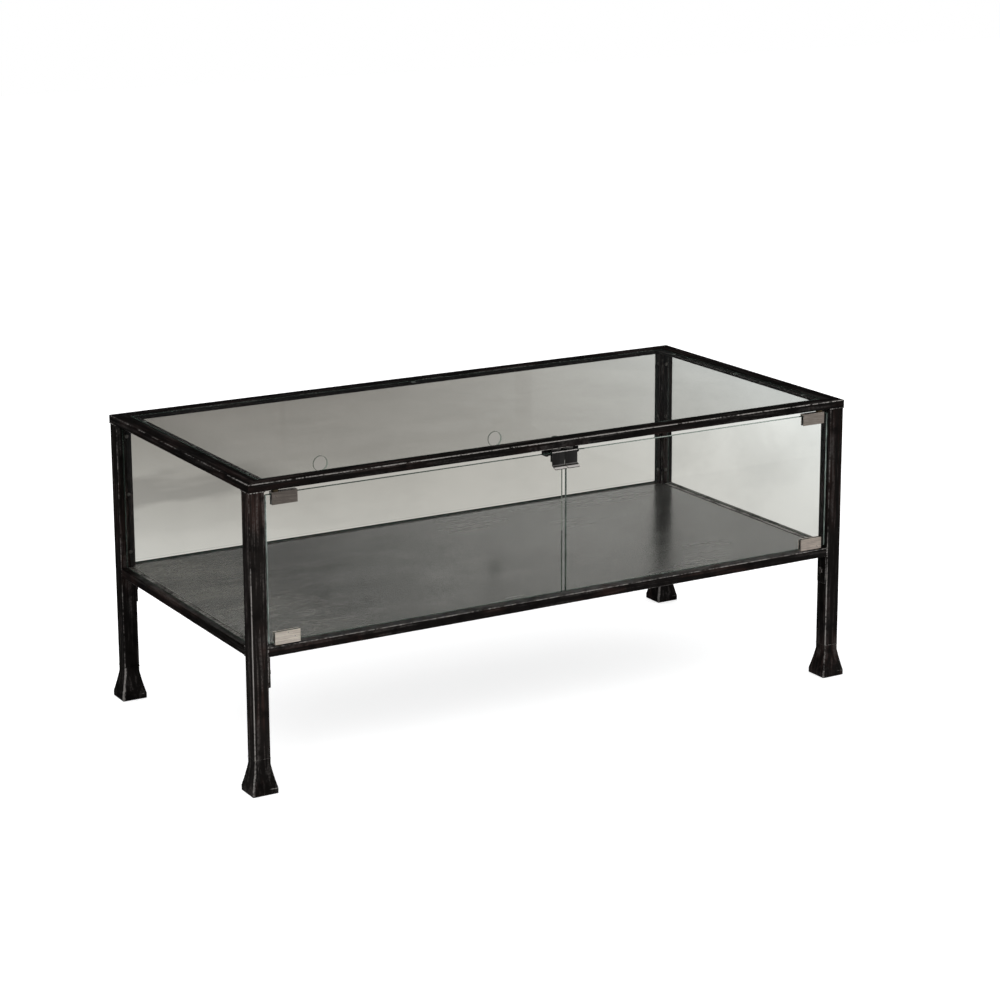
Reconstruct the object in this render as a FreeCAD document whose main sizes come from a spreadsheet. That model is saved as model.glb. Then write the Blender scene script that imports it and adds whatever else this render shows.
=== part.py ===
"""Collectors display table: a glazed case on four square legs, with a pair of glass doors.

All sizes are in millimetres.  The table stands on z = 0 with its middle over the origin,
x runs along its length, and its doors face -y.
"""
import FreeCAD, Part
import math
import os
import Sketcher

Vector = FreeCAD.Vector
doc = FreeCAD.newDocument("display_table")
sheet = doc.addObject("Spreadsheet::Sheet", "Dim")

SIZES = [
    ("table_width", 1079.5, "width over the feet"),
    ("table_depth", 533.4, "depth over the feet"),
    ("table_height", 469.9, "floor to the top of the frame"),
    ("foot_width", 41.3, "square foot, across its base"),
    ("foot_height", 54, "floor to the top of the foot's neck"),
    ("foot_neck", 45, "floor to the top of the foot's flare, where its neck begins"),
    ("foot_band", 9, "floor to the top of the foot's upright band"),
    ("foot_flare", 260, "radius of the hollow flare"),
    ("foot_bevel", 0.8, "bevel round the foot's underside"),
    ("glide_radius", 11, "felt glide under the foot"),
    ("glide_thickness", 3, "glide, top to bottom"),
    ("glide_stand", 0.6, "how far the glide stands out below the foot"),
    ("leg_width", 25.4, "square leg tube"),
    ("tube_wall", 1.5, "wall of the leg and rail tubes"),
    ("tube_round", 1.2, "rounding of the leg's upright corners"),
    ("spigot_length", 14, "plug that enters the end of a leg tube"),
    ("spigot_gap", 0.1, "plug to the tube's wall"),
    ("frame_lip", 0.8, "how far the top frame stands out past the legs"),
    ("rail_width", 25.4, "top frame rail, flat side"),
    ("rail_height", 12.7, "top frame rail, upright side"),
    ("glass", 5, "thickness of every pane"),
    ("glass_arris", 0.6, "bevel along every edge of a pane"),
    ("glass_drop", 0.4, "top glass below the top of the frame"),
    ("glass_gap", 1.0, "top glass to the rails round it"),
    ("ledge_width", 12.7, "ledge under the ends of the top glass"),
    ("ledge_thickness", 3, "ledge and tab plates"),
    ("glass_tab_width", 12, "tab under the long sides of the top glass"),
    ("bumper_radius", 4.5, "clear bumper under the top glass"),
    ("bumper_height", 0.8, "clear bumper, top to bottom"),
    ("bumper_spread", 190, "middle bumper to the outer ones"),
    ("shelf_level", 222.5, "floor to the top of the lower frame and the shelf"),
    ("lower_rail_width", 22, "lower frame rail, flat side"),
    ("lower_rail_height", 14.8, "lower frame rail, upright side"),
    ("shelf_ledge_width", 12, "strip that carries the shelf panel"),
    ("shelf_ledge_thickness", 3, "strip, top to bottom"),
    ("panel_thickness", 1.6, "sheet of the shelf panel"),
    ("panel_gap", 1.2, "shelf panel to the rails and legs"),
    ("tab_thickness", 3, "leg tab under the lower frame"),
    ("tab_drop", 47, "leg tab below the lower frame"),
    ("tab_bolt_drop", 25, "bolt below the lower frame"),
    ("bolt_radius", 3, "tab bolt's shank"),
    ("bolt_head_radius", 5.5, "tab bolt's head"),
    ("bolt_head_height", 3.4, "tab bolt's head"),
    ("nut_radius", 4.5, "rivet nut in the leg"),
    ("nut_length", 9, "rivet nut from the outside of the leg's wall"),
    ("stop_width", 10.5, "glazing stop, face"),
    ("stop_thickness", 3, "glazing stop, thickness"),
    ("stop_setback", 0.8, "glazing stop back from the leg's corner"),
    ("stop_top_gap", 0.5, "glazing stop to the top frame"),
    ("pane_gap", 0.2, "pane to its glazing stops"),
    ("pane_end_gap", 1.5, "pane to the legs at its ends"),
    ("pane_top_gap", 1.0, "pane to the top frame"),
    ("screw_first", 25.5, "lowest screw above the lower end of a glazing stop"),
    ("screw_last", 18.7, "highest screw below the upper end of a glazing stop"),
    ("screw_radius", 1.5, "glazing stop screw's shank"),
    ("screw_head_radius", 3, "glazing stop screw's head"),
    ("screw_head_height", 1.8, "glazing stop screw's head"),
    ("screw_bite", 3, "screw past the stop into the leg"),
    ("screw_clearance", 0.1, "shank of a screw or bolt to its hole"),
    ("cable_hole_radius", 12.7, "hole in the back pane"),
    ("cable_hole_spread", 168, "middle of the back pane to each hole"),
    ("cable_hole_level", 118.5, "hole above the lower frame"),
    ("door_setback", 3.85, "face of the doors behind the face of the legs"),
    ("door_side_gap", 3.2, "door to the leg"),
    ("door_centre_gap", 6.5, "between the two doors"),
    ("door_bottom_gap", 4.5, "door above the lower frame"),
    ("door_top_gap", 6.7, "door below the top frame"),
    ("clamp_length", 41, "hinge clamp along the door"),
    ("clamp_height", 19, "hinge clamp, top to bottom"),
    ("clamp_inset", 9, "hinge clamp from the door's edge"),
    ("clamp_wall", 2, "hinge clamp's cheeks"),
    ("clamp_web", 2.4, "hinge clamp past the edge of the glass"),
    ("clamp_round", 0.8, "rounding of the hinge clamp's edges"),
    ("liner", 0.6, "rubber between the clamp and the glass"),
    ("pin_inset", 7, "hinge pin from the clamp's end"),
    ("pin_radius", 2.5, "hinge pin"),
    ("pin_running_gap", 0.05, "hinge pin to its bushing"),
    ("bushing_wall", 1.2, "sleeve of the bushing"),
    ("bushing_flange", 1.6, "flange of the bushing past its sleeve"),
    ("bushing_reach", 6, "bushing past the face of the rail"),
    ("bushing_play", 0.3, "hinge clamp to the bushing's flange"),
    ("set_screw_radius", 2, "grub screw in the hinge clamp"),
    ("set_screw_stand", 0.8, "grub screw out of the clamp"),
    ("set_screw_spread", 10, "middle of the clamp to each grub screw"),
    ("set_screw_drop", 7, "grub screw from the clamp's open edge"),
    ("strike_width", 22, "strike clip along the door"),
    ("strike_gap", 0.5, "strike clip to the middle of the table"),
    ("strike_sheet", 1.2, "sheet of the strike clip"),
    ("strike_front", 20.5, "strike clip's front below the glass edge"),
    ("strike_back", 15, "strike clip's back below the glass edge"),
    ("strike_play", 0.1, "strike clip to the glass"),
    ("lip_reach", 8.8, "pull lip out from the strike clip"),
    ("lip_fall", 4.5, "pull lip down over its reach"),
    ("lip_round", 2, "rounding of the pull lip's corners"),
    ("catch_length", 64, "catch over its rounded ends"),
    ("catch_depth", 13, "catch, front to back"),
    ("catch_height", 12, "catch, top to bottom"),
    ("catch_play", 0.3, "catch to the strike clips"),
    ("magnet_length", 17, "magnet along the catch"),
    ("magnet_depth", 5, "magnet, front to back"),
    ("magnet_height", 8, "magnet, top to bottom"),
    ("magnet_spread", 11, "middle of the catch to each magnet"),
    ("magnet_play", 0.1, "magnet to its pocket"),
]
for row, (alias, size, meaning) in enumerate(SIZES, start=1):
    sheet.set(f"A{row}", meaning)
    sheet.set(f"B{row}", str(size))
    sheet.setAlias(f"B{row}", alias)
doc.recompute()

# Places that several pieces share, worked out from the driving sizes.
LEG_X = "(Dim.table_width / 2 - Dim.foot_width / 2)"
LEG_Y = "(Dim.table_depth / 2 - Dim.foot_width / 2)"
CASE_X = f"({LEG_X} + Dim.leg_width / 2)"
CASE_Y = f"({LEG_Y} + Dim.leg_width / 2)"
INNER_X = f"({LEG_X} - Dim.leg_width / 2)"
INNER_Y = f"({LEG_Y} - Dim.leg_width / 2)"
FRAME_X = f"({CASE_X} + Dim.frame_lip)"
FRAME_Y = f"({CASE_Y} + Dim.frame_lip)"
RAIL_X = f"({FRAME_X} - Dim.rail_width / 2)"
RAIL_Y = f"({FRAME_Y} - Dim.rail_width / 2)"
REBATE_X = f"({FRAME_X} - Dim.rail_width)"
REBATE_Y = f"({FRAME_Y} - Dim.rail_width)"
FRAME_BOTTOM = "(Dim.table_height - Dim.rail_height)"
LEDGE_TOP = "(Dim.table_height - Dim.glass_drop - Dim.glass - Dim.bumper_height)"
LEDGE_BOTTOM = f"({LEDGE_TOP} - Dim.ledge_thickness)"
LOWER_X = f"({CASE_X} - Dim.lower_rail_width / 2)"
LOWER_Y = f"({CASE_Y} - Dim.lower_rail_width / 2)"
LOWER_BOTTOM = "(Dim.shelf_level - Dim.lower_rail_height)"
SHELF_X = f"({CASE_X} - Dim.lower_rail_width)"
SHELF_Y = f"({CASE_Y} - Dim.lower_rail_width)"
BOLT_LEVEL = f"({LOWER_BOTTOM} - Dim.tab_bolt_drop)"
CASE_HEIGHT = f"({FRAME_BOTTOM} - Dim.shelf_level)"
STOP_IN = "(Dim.stop_setback + Dim.stop_width / 2)"
PANE_IN = "(Dim.stop_setback + Dim.stop_width + Dim.pane_gap + Dim.glass / 2)"
DOOR_Y = f"({CASE_Y} - Dim.door_setback - Dim.glass / 2)"
DOOR_BOTTOM = "(Dim.shelf_level + Dim.door_bottom_gap)"
DOOR_TOP = f"({FRAME_BOTTOM} - Dim.door_top_gap)"
DOOR_EDGE = f"({INNER_X} - Dim.door_side_gap)"
CLAMP_X = f"({DOOR_EDGE} - Dim.clamp_inset - Dim.clamp_length / 2)"
PIVOT_X = f"({DOOR_EDGE} - Dim.clamp_inset - Dim.pin_inset)"
SLOT_HALF = "(Dim.glass / 2 + Dim.liner)"
CLAMP_HALF = "(Dim.glass / 2 + Dim.liner + Dim.clamp_wall)"
CLAMP_HIGH = "(Dim.liner + Dim.clamp_web)"
CLAMP_LOW = f"({CLAMP_HIGH} - Dim.clamp_height)"
SLEEVE_RADIUS = "(Dim.pin_radius + Dim.pin_running_gap + Dim.bushing_wall)"
BUSHING_HOLE = f"({SLEEVE_RADIUS} + Dim.screw_clearance)"
SCREW_HOLE = "(Dim.screw_radius + Dim.screw_clearance)"
BOLT_HOLE = "(Dim.bolt_radius + Dim.screw_clearance)"
STRIKE_HALF = "(Dim.glass / 2 + Dim.strike_play + Dim.strike_sheet)"
CATCH_FRONT = f"({DOOR_Y} - {STRIKE_HALF} - Dim.catch_play)"
CATCH_Y = f"({CATCH_FRONT} - Dim.catch_depth / 2)"
CATCH_SCREW_X = "(Dim.catch_length / 2 - Dim.catch_depth / 2)"

pieces = []


def keep(item, name):
    """Name a finished sub-part and list it for the export."""
    item.Label = name
    pieces.append(item)
    return item


def bind(item, expressions):
    """Tie an item's properties to the sheet."""
    for name, expression in expressions.items():
        item.setExpression(name, expression)


def place(item, x, y, z, turn=0):
    """Put an item at x, y, z, turned by so many degrees about the vertical."""
    item.Placement = FreeCAD.Placement(Vector(), FreeCAD.Rotation(Vector(0, 0, 1), turn))
    bind(item, {"Placement.Base.x": x, "Placement.Base.y": y, "Placement.Base.z": z})
    return item


def number_of(item, expression):
    """The present value of an expression."""
    return float(item.evalExpression(expression))


def new_body(name):
    return keep(doc.addObject("PartDesign::Body", name), name)


def new_sketch(body, plane, offset="0"):
    """A sketch on one of the body's own origin planes, or parallel to it."""
    sketch = body.newObject("Sketcher::SketchObject", f"{body.Name}_sketch")
    origin = [item for item in body.Origin.OriginFeatures if item.Role == plane]
    sketch.AttachmentSupport = [(origin[0], "")]
    sketch.MapMode = "FlatFace"
    sketch.setExpression("AttachmentOffset.Base.z", offset)
    return sketch


def fix_point(sketch, geometry, point, x, y):
    """Tie a point of a sketch to its place from the sketch's origin."""
    for kind, expression in (("DistanceX", x), ("DistanceY", y)):
        spot = number_of(sketch, expression)
        index = sketch.addConstraint(Sketcher.Constraint(kind, -1, 1, geometry, point, spot))
        sketch.setExpression(f"Constraints[{index}]", expression)


def outline(sketch, corners):
    """A closed outline of straight sides; each corner is a pair of expressions."""
    first = sketch.GeometryCount
    count = len(corners)
    spots = [Vector(number_of(sketch, x), number_of(sketch, y), 0) for x, y in corners]
    for index in range(count):
        sketch.addGeometry(Part.LineSegment(spots[index], spots[(index + 1) % count]))
    for index, (x, y) in enumerate(corners):
        after = first + (index + 1) % count
        sketch.addConstraint(Sketcher.Constraint("Coincident", first + index, 2, after, 1))
        fix_point(sketch, first + index, 1, x, y)


def rectangle(sketch, left, right, low, high):
    outline(sketch, [(left, low), (right, low), (right, high), (left, high)])


def square(sketch, width):
    rectangle(sketch, f"-{width} / 2", f"{width} / 2", f"-{width} / 2", f"{width} / 2")


def circle(sketch, x, y, radius):
    size = number_of(sketch, radius)
    centre = Vector(number_of(sketch, x), number_of(sketch, y), 0)
    geometry = sketch.addGeometry(Part.Circle(centre, Vector(0, 0, 1), size))
    fix_point(sketch, geometry, 3, x, y)
    index = sketch.addConstraint(Sketcher.Constraint("Radius", geometry, size))
    sketch.setExpression(f"Constraints[{index}]", radius)


OCTAGON = [(math.cos(math.radians(turn)), math.sin(math.radians(turn)))
           for turn in (22.5, 67.5, 112.5, 157.5, 202.5, 247.5, 292.5, 337.5)]
ACROSS_CORNERS = 1 / math.cos(math.radians(22.5))


def screw_hole(sketch, x, y, radius):
    """A small hole with eight flats, clear of a round or a prism of the given radius."""
    size = f"{ACROSS_CORNERS:.6f} * {radius}"
    outline(sketch, [(f"{x} + {across:.6f} * {size}", f"{y} + {along:.6f} * {size}")
                     for across, along in OCTAGON])


def pad(body, sketch, length, symmetric=False, reverse=False):
    feature = body.newObject("PartDesign::Pad", f"{body.Name}_pad")
    feature.Profile = sketch
    feature.SideType = "Symmetric" if symmetric else "One side"
    feature.Reversed = reverse
    feature.setExpression("Length", length)
    return feature


def pocket(body, sketch, depth, reverse=False):
    """Cut a sketch into the body, and make sure that it took something away."""
    doc.recompute()
    before = body.Shape.Volume
    feature = body.newObject("PartDesign::Pocket", f"{body.Name}_pocket")
    feature.Profile = sketch
    feature.Reversed = reverse
    feature.setExpression("Length", depth)
    doc.recompute()
    if body.Shape.Volume >= before:
        raise ValueError(f"a pocket of {body.Name} cuts nothing")
    return feature


def ease(body, kind, size, wanted):
    """Fillet or chamfer the edges of the body's last feature that pass a test."""
    doc.recompute()
    base = body.Tip
    names = [f"Edge{index}" for index, edge in enumerate(base.Shape.Edges, start=1) if wanted(edge)]
    feature = body.newObject(f"PartDesign::{kind}", f"{body.Name}_{kind.lower()}")
    feature.Base = (base, names)
    feature.setExpression("Radius" if kind == "Fillet" else "Size", size)
    return feature


def block(name, x, y, z, length, depth, height):
    """A plain bar or plate, from its lowest corner."""
    item = doc.addObject("Part::Box", name)
    bind(item, {"Length": length, "Width": depth, "Height": height})
    return place(item, x, y, z)


def rod(name, radius, length, x, y, z, axis=Vector(0, 0, 1)):
    """A round bar that starts at x, y, z and runs along an axis."""
    item = doc.addObject("Part::Cylinder", name)
    bind(item, {"Radius": radius, "Height": length})
    place(item, x, y, z)
    item.Placement.Rotation = FreeCAD.Rotation(Vector(0, 0, 1), axis)
    return item


def shank(name, radius, length, x, y, z, axis=Vector(0, 0, 1), sides=8):
    """A small fastener's bar, drawn with flats inside its nominal radius."""
    item = doc.addObject("Part::Prism", name)
    item.Polygon = sides
    bind(item, {"Circumradius": radius, "Height": length})
    place(item, x, y, z)
    item.Placement.Rotation = FreeCAD.Rotation(Vector(0, 0, 1), axis)
    return item


def joined(name, items):
    item = doc.addObject("Part::MultiFuse", name)
    item.Shapes = items
    return item


def cut(name, base, tool):
    item = doc.addObject("Part::Cut", name)
    item.Base = base
    item.Tool = tool
    return item


def group(name, items):
    """Like solids that share one node."""
    item = doc.addObject("Part::Compound", name)
    item.Links = items
    return keep(item, name)


def upright(edge):
    box = edge.BoundBox
    return box.XLength < 0.01 and box.YLength < 0.01


# Top frame: four mitred rails of rectangular tube.
def top_rail(name, half_length, x, y, turn, holes=()):
    """A rail along its own x, with its outer side towards its own -y."""
    body = new_body(name)
    half = "Dim.rail_width / 2"
    section = new_sketch(body, "YZ_Plane")
    rectangle(section, f"-{half}", half, "0", "Dim.rail_height")
    rectangle(section, f"-{half} + Dim.tube_wall", f"{half} - Dim.tube_wall",
              "Dim.tube_wall", "Dim.rail_height - Dim.tube_wall")
    pad(body, section, f"2 * {half_length}", symmetric=True)
    mitres = new_sketch(body, "XY_Plane")
    for end in ("-1", "1"):
        outline(mitres, [(f"{end} * {half_length}", f"-{half}"),
                         (f"{end} * {half_length}", half),
                         (f"{end} * ({half_length} - Dim.rail_width)", half)])
    pocket(body, mitres, "Dim.rail_height", reverse=True)
    if holes:
        drill = new_sketch(body, "XY_Plane")
        for hole_x, hole_y, radius in holes:
            screw_hole(drill, hole_x, hole_y, radius)
        pocket(body, drill, "Dim.tube_wall", reverse=True)
    place(body, x, y, FRAME_BOTTOM, turn)


FRONT_HOLES = []
for side in ("-1", "1"):
    FRONT_HOLES.append((f"{side} * {PIVOT_X}", f"{RAIL_Y} - {DOOR_Y}", BUSHING_HOLE))
    FRONT_HOLES.append((f"{side} * {CATCH_SCREW_X}", f"{RAIL_Y} - {CATCH_Y}", SCREW_HOLE))
top_rail("top_front_rail", FRAME_X, "0", f"-{RAIL_Y}", 0, FRONT_HOLES)
top_rail("top_back_rail", FRAME_X, "0", RAIL_Y, 180)
top_rail("top_left_rail", FRAME_Y, f"-{RAIL_X}", "0", -90)
top_rail("top_right_rail", FRAME_Y, RAIL_X, "0", 90)

CORNERS = {
    "front_left": ("-1", "-1"),
    "front_right": ("1", "-1"),
    "back_left": ("-1", "1"),
    "back_right": ("1", "1"),
}
SPIGOT_WIDTH = "(Dim.leg_width - 2 * Dim.tube_wall - 2 * Dim.spigot_gap)"
group("frame_spigots", [
    block(f"frame_spigot_{corner}",
          f"{sx} * {LEG_X} - {SPIGOT_WIDTH} / 2", f"{sy} * {LEG_Y} - {SPIGOT_WIDTH} / 2",
          f"{FRAME_BOTTOM} - Dim.spigot_length", SPIGOT_WIDTH, SPIGOT_WIDTH, "Dim.spigot_length")
    for corner, (sx, sy) in CORNERS.items()])


# Top glass, on ledges at its ends and a tab in the middle of each long side.
def pane(name, half_length, height, x, y, z, turn=0, holes=()):
    """An upright sheet of glass along its own x, with every edge bevelled."""
    body = new_body(name)
    face = new_sketch(body, "XZ_Plane")
    rectangle(face, f"-{half_length}", half_length, "0", height)
    for hole_x, hole_z, radius in holes:
        circle(face, hole_x, hole_z, radius)
    pad(body, face, "Dim.glass", symmetric=True)
    ease(body, "Chamfer", "Dim.glass_arris", lambda edge: edge.BoundBox.YLength < 0.01)
    return place(body, x, y, z, turn)


top_glass = new_body("top_glass")
plan = new_sketch(top_glass, "XY_Plane")
rectangle(plan, f"-({REBATE_X} - Dim.glass_gap)", f"{REBATE_X} - Dim.glass_gap",
          f"-({REBATE_Y} - Dim.glass_gap)", f"{REBATE_Y} - Dim.glass_gap")
pad(top_glass, plan, "Dim.glass")
ease(top_glass, "Chamfer", "Dim.glass_arris", lambda edge: edge.BoundBox.ZLength < 0.01)
place(top_glass, "0", "0", "Dim.table_height - Dim.glass_drop - Dim.glass")

for side, left in (("left", f"-{REBATE_X}"), ("right", f"{REBATE_X} - Dim.ledge_width")):
    name = f"glass_ledge_{side}"
    keep(block(name, left, f"-{REBATE_Y}", LEDGE_BOTTOM,
               "Dim.ledge_width", f"2 * {REBATE_Y}", "Dim.ledge_thickness"), name)


def glass_tab(side, sign):
    """A round-ended tab on the inner face of a long rail."""
    straight = "(Dim.ledge_width - Dim.glass_tab_width / 2)"
    middle = f"({REBATE_Y} - {straight})"
    low = f"-{REBATE_Y}" if sign == "-1" else middle
    stem = block(f"glass_tab_stem_{side}", "-Dim.glass_tab_width / 2", low, LEDGE_BOTTOM,
                 "Dim.glass_tab_width", straight, "Dim.ledge_thickness")
    nose = rod(f"glass_tab_nose_{side}", "Dim.glass_tab_width / 2", "Dim.ledge_thickness",
               "0", f"{sign} * {middle}", LEDGE_BOTTOM)
    return joined(f"glass_tab_{side}", [stem, nose])


group("glass_tabs", [glass_tab("front", "-1"), glass_tab("back", "1")])

BUMPER_X = f"({REBATE_X} - Dim.ledge_width / 2)"
BUMPER_Y = f"({REBATE_Y} - Dim.ledge_width / 2)"
BUMPER_SPOTS = [("0", f"-{BUMPER_Y}"), ("0", BUMPER_Y)]
for side in ("-1", "1"):
    for step in ("-1", "0", "1"):
        BUMPER_SPOTS.append((f"{side} * {BUMPER_X}", f"{step} * Dim.bumper_spread"))
group("glass_bumpers", [
    rod(f"glass_bumper_{index}", "Dim.bumper_radius", "Dim.bumper_height", x, y, LEDGE_TOP)
    for index, (x, y) in enumerate(BUMPER_SPOTS, start=1)])


# Legs: square tube, with holes for the tab bolt and for the glazing stops' screws.
STOP_TOP = f"({FRAME_BOTTOM} - Dim.stop_top_gap)"
SCREW_LOW = "(Dim.shelf_level + Dim.screw_first)"
SCREW_HIGH = f"({STOP_TOP} - Dim.screw_last)"
SCREW_LEVELS = [SCREW_LOW, f"(({SCREW_LOW} + {SCREW_HIGH}) / 2)", SCREW_HIGH]
TAB_Y = f"({LOWER_Y} - {LEG_Y})"


def leg(corner, sx, sy):
    """A leg; its own origin is on its axis, at the top of the foot."""
    body = new_body(f"leg_{corner}")
    section = new_sketch(body, "XY_Plane")
    square(section, "Dim.leg_width")
    square(section, "(Dim.leg_width - 2 * Dim.tube_wall)")
    pad(body, section, f"{FRAME_BOTTOM} - Dim.foot_height")
    corner_place = number_of(body, "Dim.leg_width / 2")
    ease(body, "Fillet", "min(Dim.tube_round; Dim.tube_wall * 0.9)",
         lambda edge: upright(edge) and abs(abs(edge.BoundBox.XMin) - corner_place) < 0.01)
    # A hole goes from the leg's axis through the one wall on that side.
    towards_middle = new_sketch(body, "YZ_Plane")
    screw_hole(towards_middle, f"{sy} * {TAB_Y}", f"{BOLT_LEVEL} - Dim.foot_height",
               "(Dim.nut_radius + Dim.screw_clearance)")
    if sy == "1":
        for level in SCREW_LEVELS:
            screw_hole(towards_middle, f"{INNER_Y} + {STOP_IN} - {LEG_Y}",
                       f"{level} - Dim.foot_height", SCREW_HOLE)
    pocket(body, towards_middle, "Dim.leg_width / 2", reverse=(sx == "-1"))
    towards_pane = new_sketch(body, "XZ_Plane")
    for level in SCREW_LEVELS:
        screw_hole(towards_pane, f"{sx} * ({INNER_X} + {STOP_IN} - {LEG_X})",
                   f"{level} - Dim.foot_height", SCREW_HOLE)
    pocket(body, towards_pane, "Dim.leg_width / 2", reverse=(sy == "1"))
    place(body, f"{sx} * {LEG_X}", f"{sy} * {LEG_Y}", "Dim.foot_height")


def flare_sketch(body):
    """The two hollows cut beside the foot: the flare above its band, and the straight neck."""
    sketch = new_sketch(body, "XZ_Plane")
    radius = number_of(sketch, "Dim.foot_flare")
    for side in (-1, 1):
        wide, narrow = f"{side} * Dim.foot_width / 2", f"{side} * Dim.leg_width / 2"
        base = Vector(number_of(sketch, wide), number_of(sketch, "Dim.foot_band"), 0)
        neck = Vector(number_of(sketch, narrow), number_of(sketch, "Dim.foot_neck"), 0)
        shoulder = Vector(neck.x, number_of(sketch, "Dim.foot_height"), 0)
        corner = Vector(base.x, shoulder.y, 0)
        chord = neck - base
        outward = Vector(side * chord.y, -side * chord.x, 0).normalize()
        centre = (base + neck) * 0.5 + outward * math.sqrt(radius ** 2 - chord.Length ** 2 / 4)
        # An arc runs anticlockwise, so it starts at the neck on the right and at the base on the left.
        angles = [math.atan2(end.y - centre.y, end.x - centre.x) for end in (neck, base)[::side]]
        arc = sketch.addGeometry(Part.ArcOfCircle(
            Part.Circle(centre, Vector(0, 0, 1), radius), *angles))
        upright_side = sketch.addGeometry(Part.LineSegment(base, corner))
        level_side = sketch.addGeometry(Part.LineSegment(corner, shoulder))
        neck_side = sketch.addGeometry(Part.LineSegment(shoulder, neck))
        neck_end, base_end = (1, 2)[::side]
        for one, one_end, other, other_end in ((arc, base_end, upright_side, 1),
                                               (upright_side, 2, level_side, 1),
                                               (level_side, 2, neck_side, 1),
                                               (neck_side, 2, arc, neck_end)):
            sketch.addConstraint(
                Sketcher.Constraint("Coincident", one, one_end, other, other_end))
        fix_point(sketch, upright_side, 1, wide, "Dim.foot_band")
        fix_point(sketch, level_side, 1, wide, "Dim.foot_height")
        fix_point(sketch, level_side, 2, narrow, "Dim.foot_height")
        fix_point(sketch, neck_side, 2, narrow, "Dim.foot_neck")
        index = sketch.addConstraint(Sketcher.Constraint("Radius", arc, radius))
        sketch.setExpression(f"Constraints[{index}]", "Dim.foot_flare")
    return sketch


def foot(corner, sx, sy):
    """A square bell foot with a neck and a plug that enters the leg, over a recessed glide."""
    body = new_body(f"foot_{corner}")
    base = new_sketch(body, "XY_Plane", "Dim.glide_stand")
    square(base, "Dim.foot_width")
    pad(body, base, "Dim.foot_height - Dim.glide_stand")
    flare = pocket(body, flare_sketch(body), "Dim.foot_width")
    flare.SideType = "Symmetric"
    doc.recompute()
    crossed = body.newObject("PartDesign::PolarPattern", f"{body.Name}_flares")
    crossed.Originals = [flare]
    crossed.Axis = ([item for item in body.Origin.OriginFeatures if item.Role == "Z_Axis"][0], [""])
    crossed.Angle = 90
    crossed.Occurrences = 2
    body.Tip = crossed
    low = number_of(body, "Dim.glide_stand")
    ease(body, "Chamfer", "Dim.foot_bevel", lambda edge: edge.BoundBox.ZMax < low + 0.01)
    plug = new_sketch(body, "XY_Plane", "Dim.foot_height")
    square(plug, SPIGOT_WIDTH)
    pad(body, plug, "Dim.spigot_length")
    recess = new_sketch(body, "XY_Plane")
    circle(recess, "0", "0", "(Dim.glide_radius + Dim.screw_clearance)")
    pocket(body, recess, "Dim.glide_thickness", reverse=True)
    place(body, f"{sx} * {LEG_X}", f"{sy} * {LEG_Y}", "0")


for corner, (sx, sy) in CORNERS.items():
    leg(corner, sx, sy)
    foot(corner, sx, sy)
group("foot_glides", [
    rod(f"foot_glide_{corner}", "Dim.glide_radius", "Dim.glide_thickness",
        f"{sx} * {LEG_X}", f"{sy} * {LEG_Y}", "0")
    for corner, (sx, sy) in CORNERS.items()])


# Lower frame: four tube rails between the legs, with ledge strips inside them.
def lower_rail(name, half_length, x, y, turn, holes=()):
    """A rail along its own x, with its top at its own z = 0."""
    body = new_body(name)
    half = "Dim.lower_rail_width / 2"
    section = new_sketch(body, "YZ_Plane")
    rectangle(section, f"-{half}", half, "-Dim.lower_rail_height", "0")
    rectangle(section, f"-{half} + Dim.tube_wall", f"{half} - Dim.tube_wall",
              "-Dim.lower_rail_height + Dim.tube_wall", "-Dim.tube_wall")
    pad(body, section, f"2 * {half_length}", symmetric=True)
    if holes:
        drill = new_sketch(body, "XY_Plane")
        for hole_x, hole_y, radius in holes:
            screw_hole(drill, hole_x, hole_y, radius)
        pocket(body, drill, "Dim.tube_wall")
    place(body, x, y, "Dim.shelf_level", turn)


lower_rail("lower_front_rail", INNER_X, "0", f"-{LOWER_Y}", 0,
           [(f"{side} * {PIVOT_X}", f"{LOWER_Y} - {DOOR_Y}", BUSHING_HOLE) for side in ("-1", "1")])
lower_rail("lower_back_rail", INNER_X, "0", LOWER_Y, 180)
lower_rail("lower_left_rail", INNER_Y, f"-{LOWER_X}", "0", -90)
lower_rail("lower_right_rail", INNER_Y, LOWER_X, "0", 90)

LEDGE_LEVEL = "(Dim.shelf_level - Dim.panel_thickness - Dim.shelf_ledge_thickness)"
LEDGE_END = f"({SHELF_Y} - Dim.shelf_ledge_width)"
shelf_ledges = []
for side, low in (("front", f"-{SHELF_Y}"), ("back", LEDGE_END)):
    shelf_ledges.append(block(f"shelf_ledge_{side}", f"-{INNER_X}", low, LEDGE_LEVEL,
                              f"2 * {INNER_X}", "Dim.shelf_ledge_width", "Dim.shelf_ledge_thickness"))
for side, left in (("left", f"-{SHELF_X}"), ("right", f"{SHELF_X} - Dim.shelf_ledge_width")):
    shelf_ledges.append(block(f"shelf_ledge_{side}", left, f"-{LEDGE_END}", LEDGE_LEVEL,
                              "Dim.shelf_ledge_width", f"2 * {LEDGE_END}", "Dim.shelf_ledge_thickness"))
group("shelf_ledges", shelf_ledges)

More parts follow.
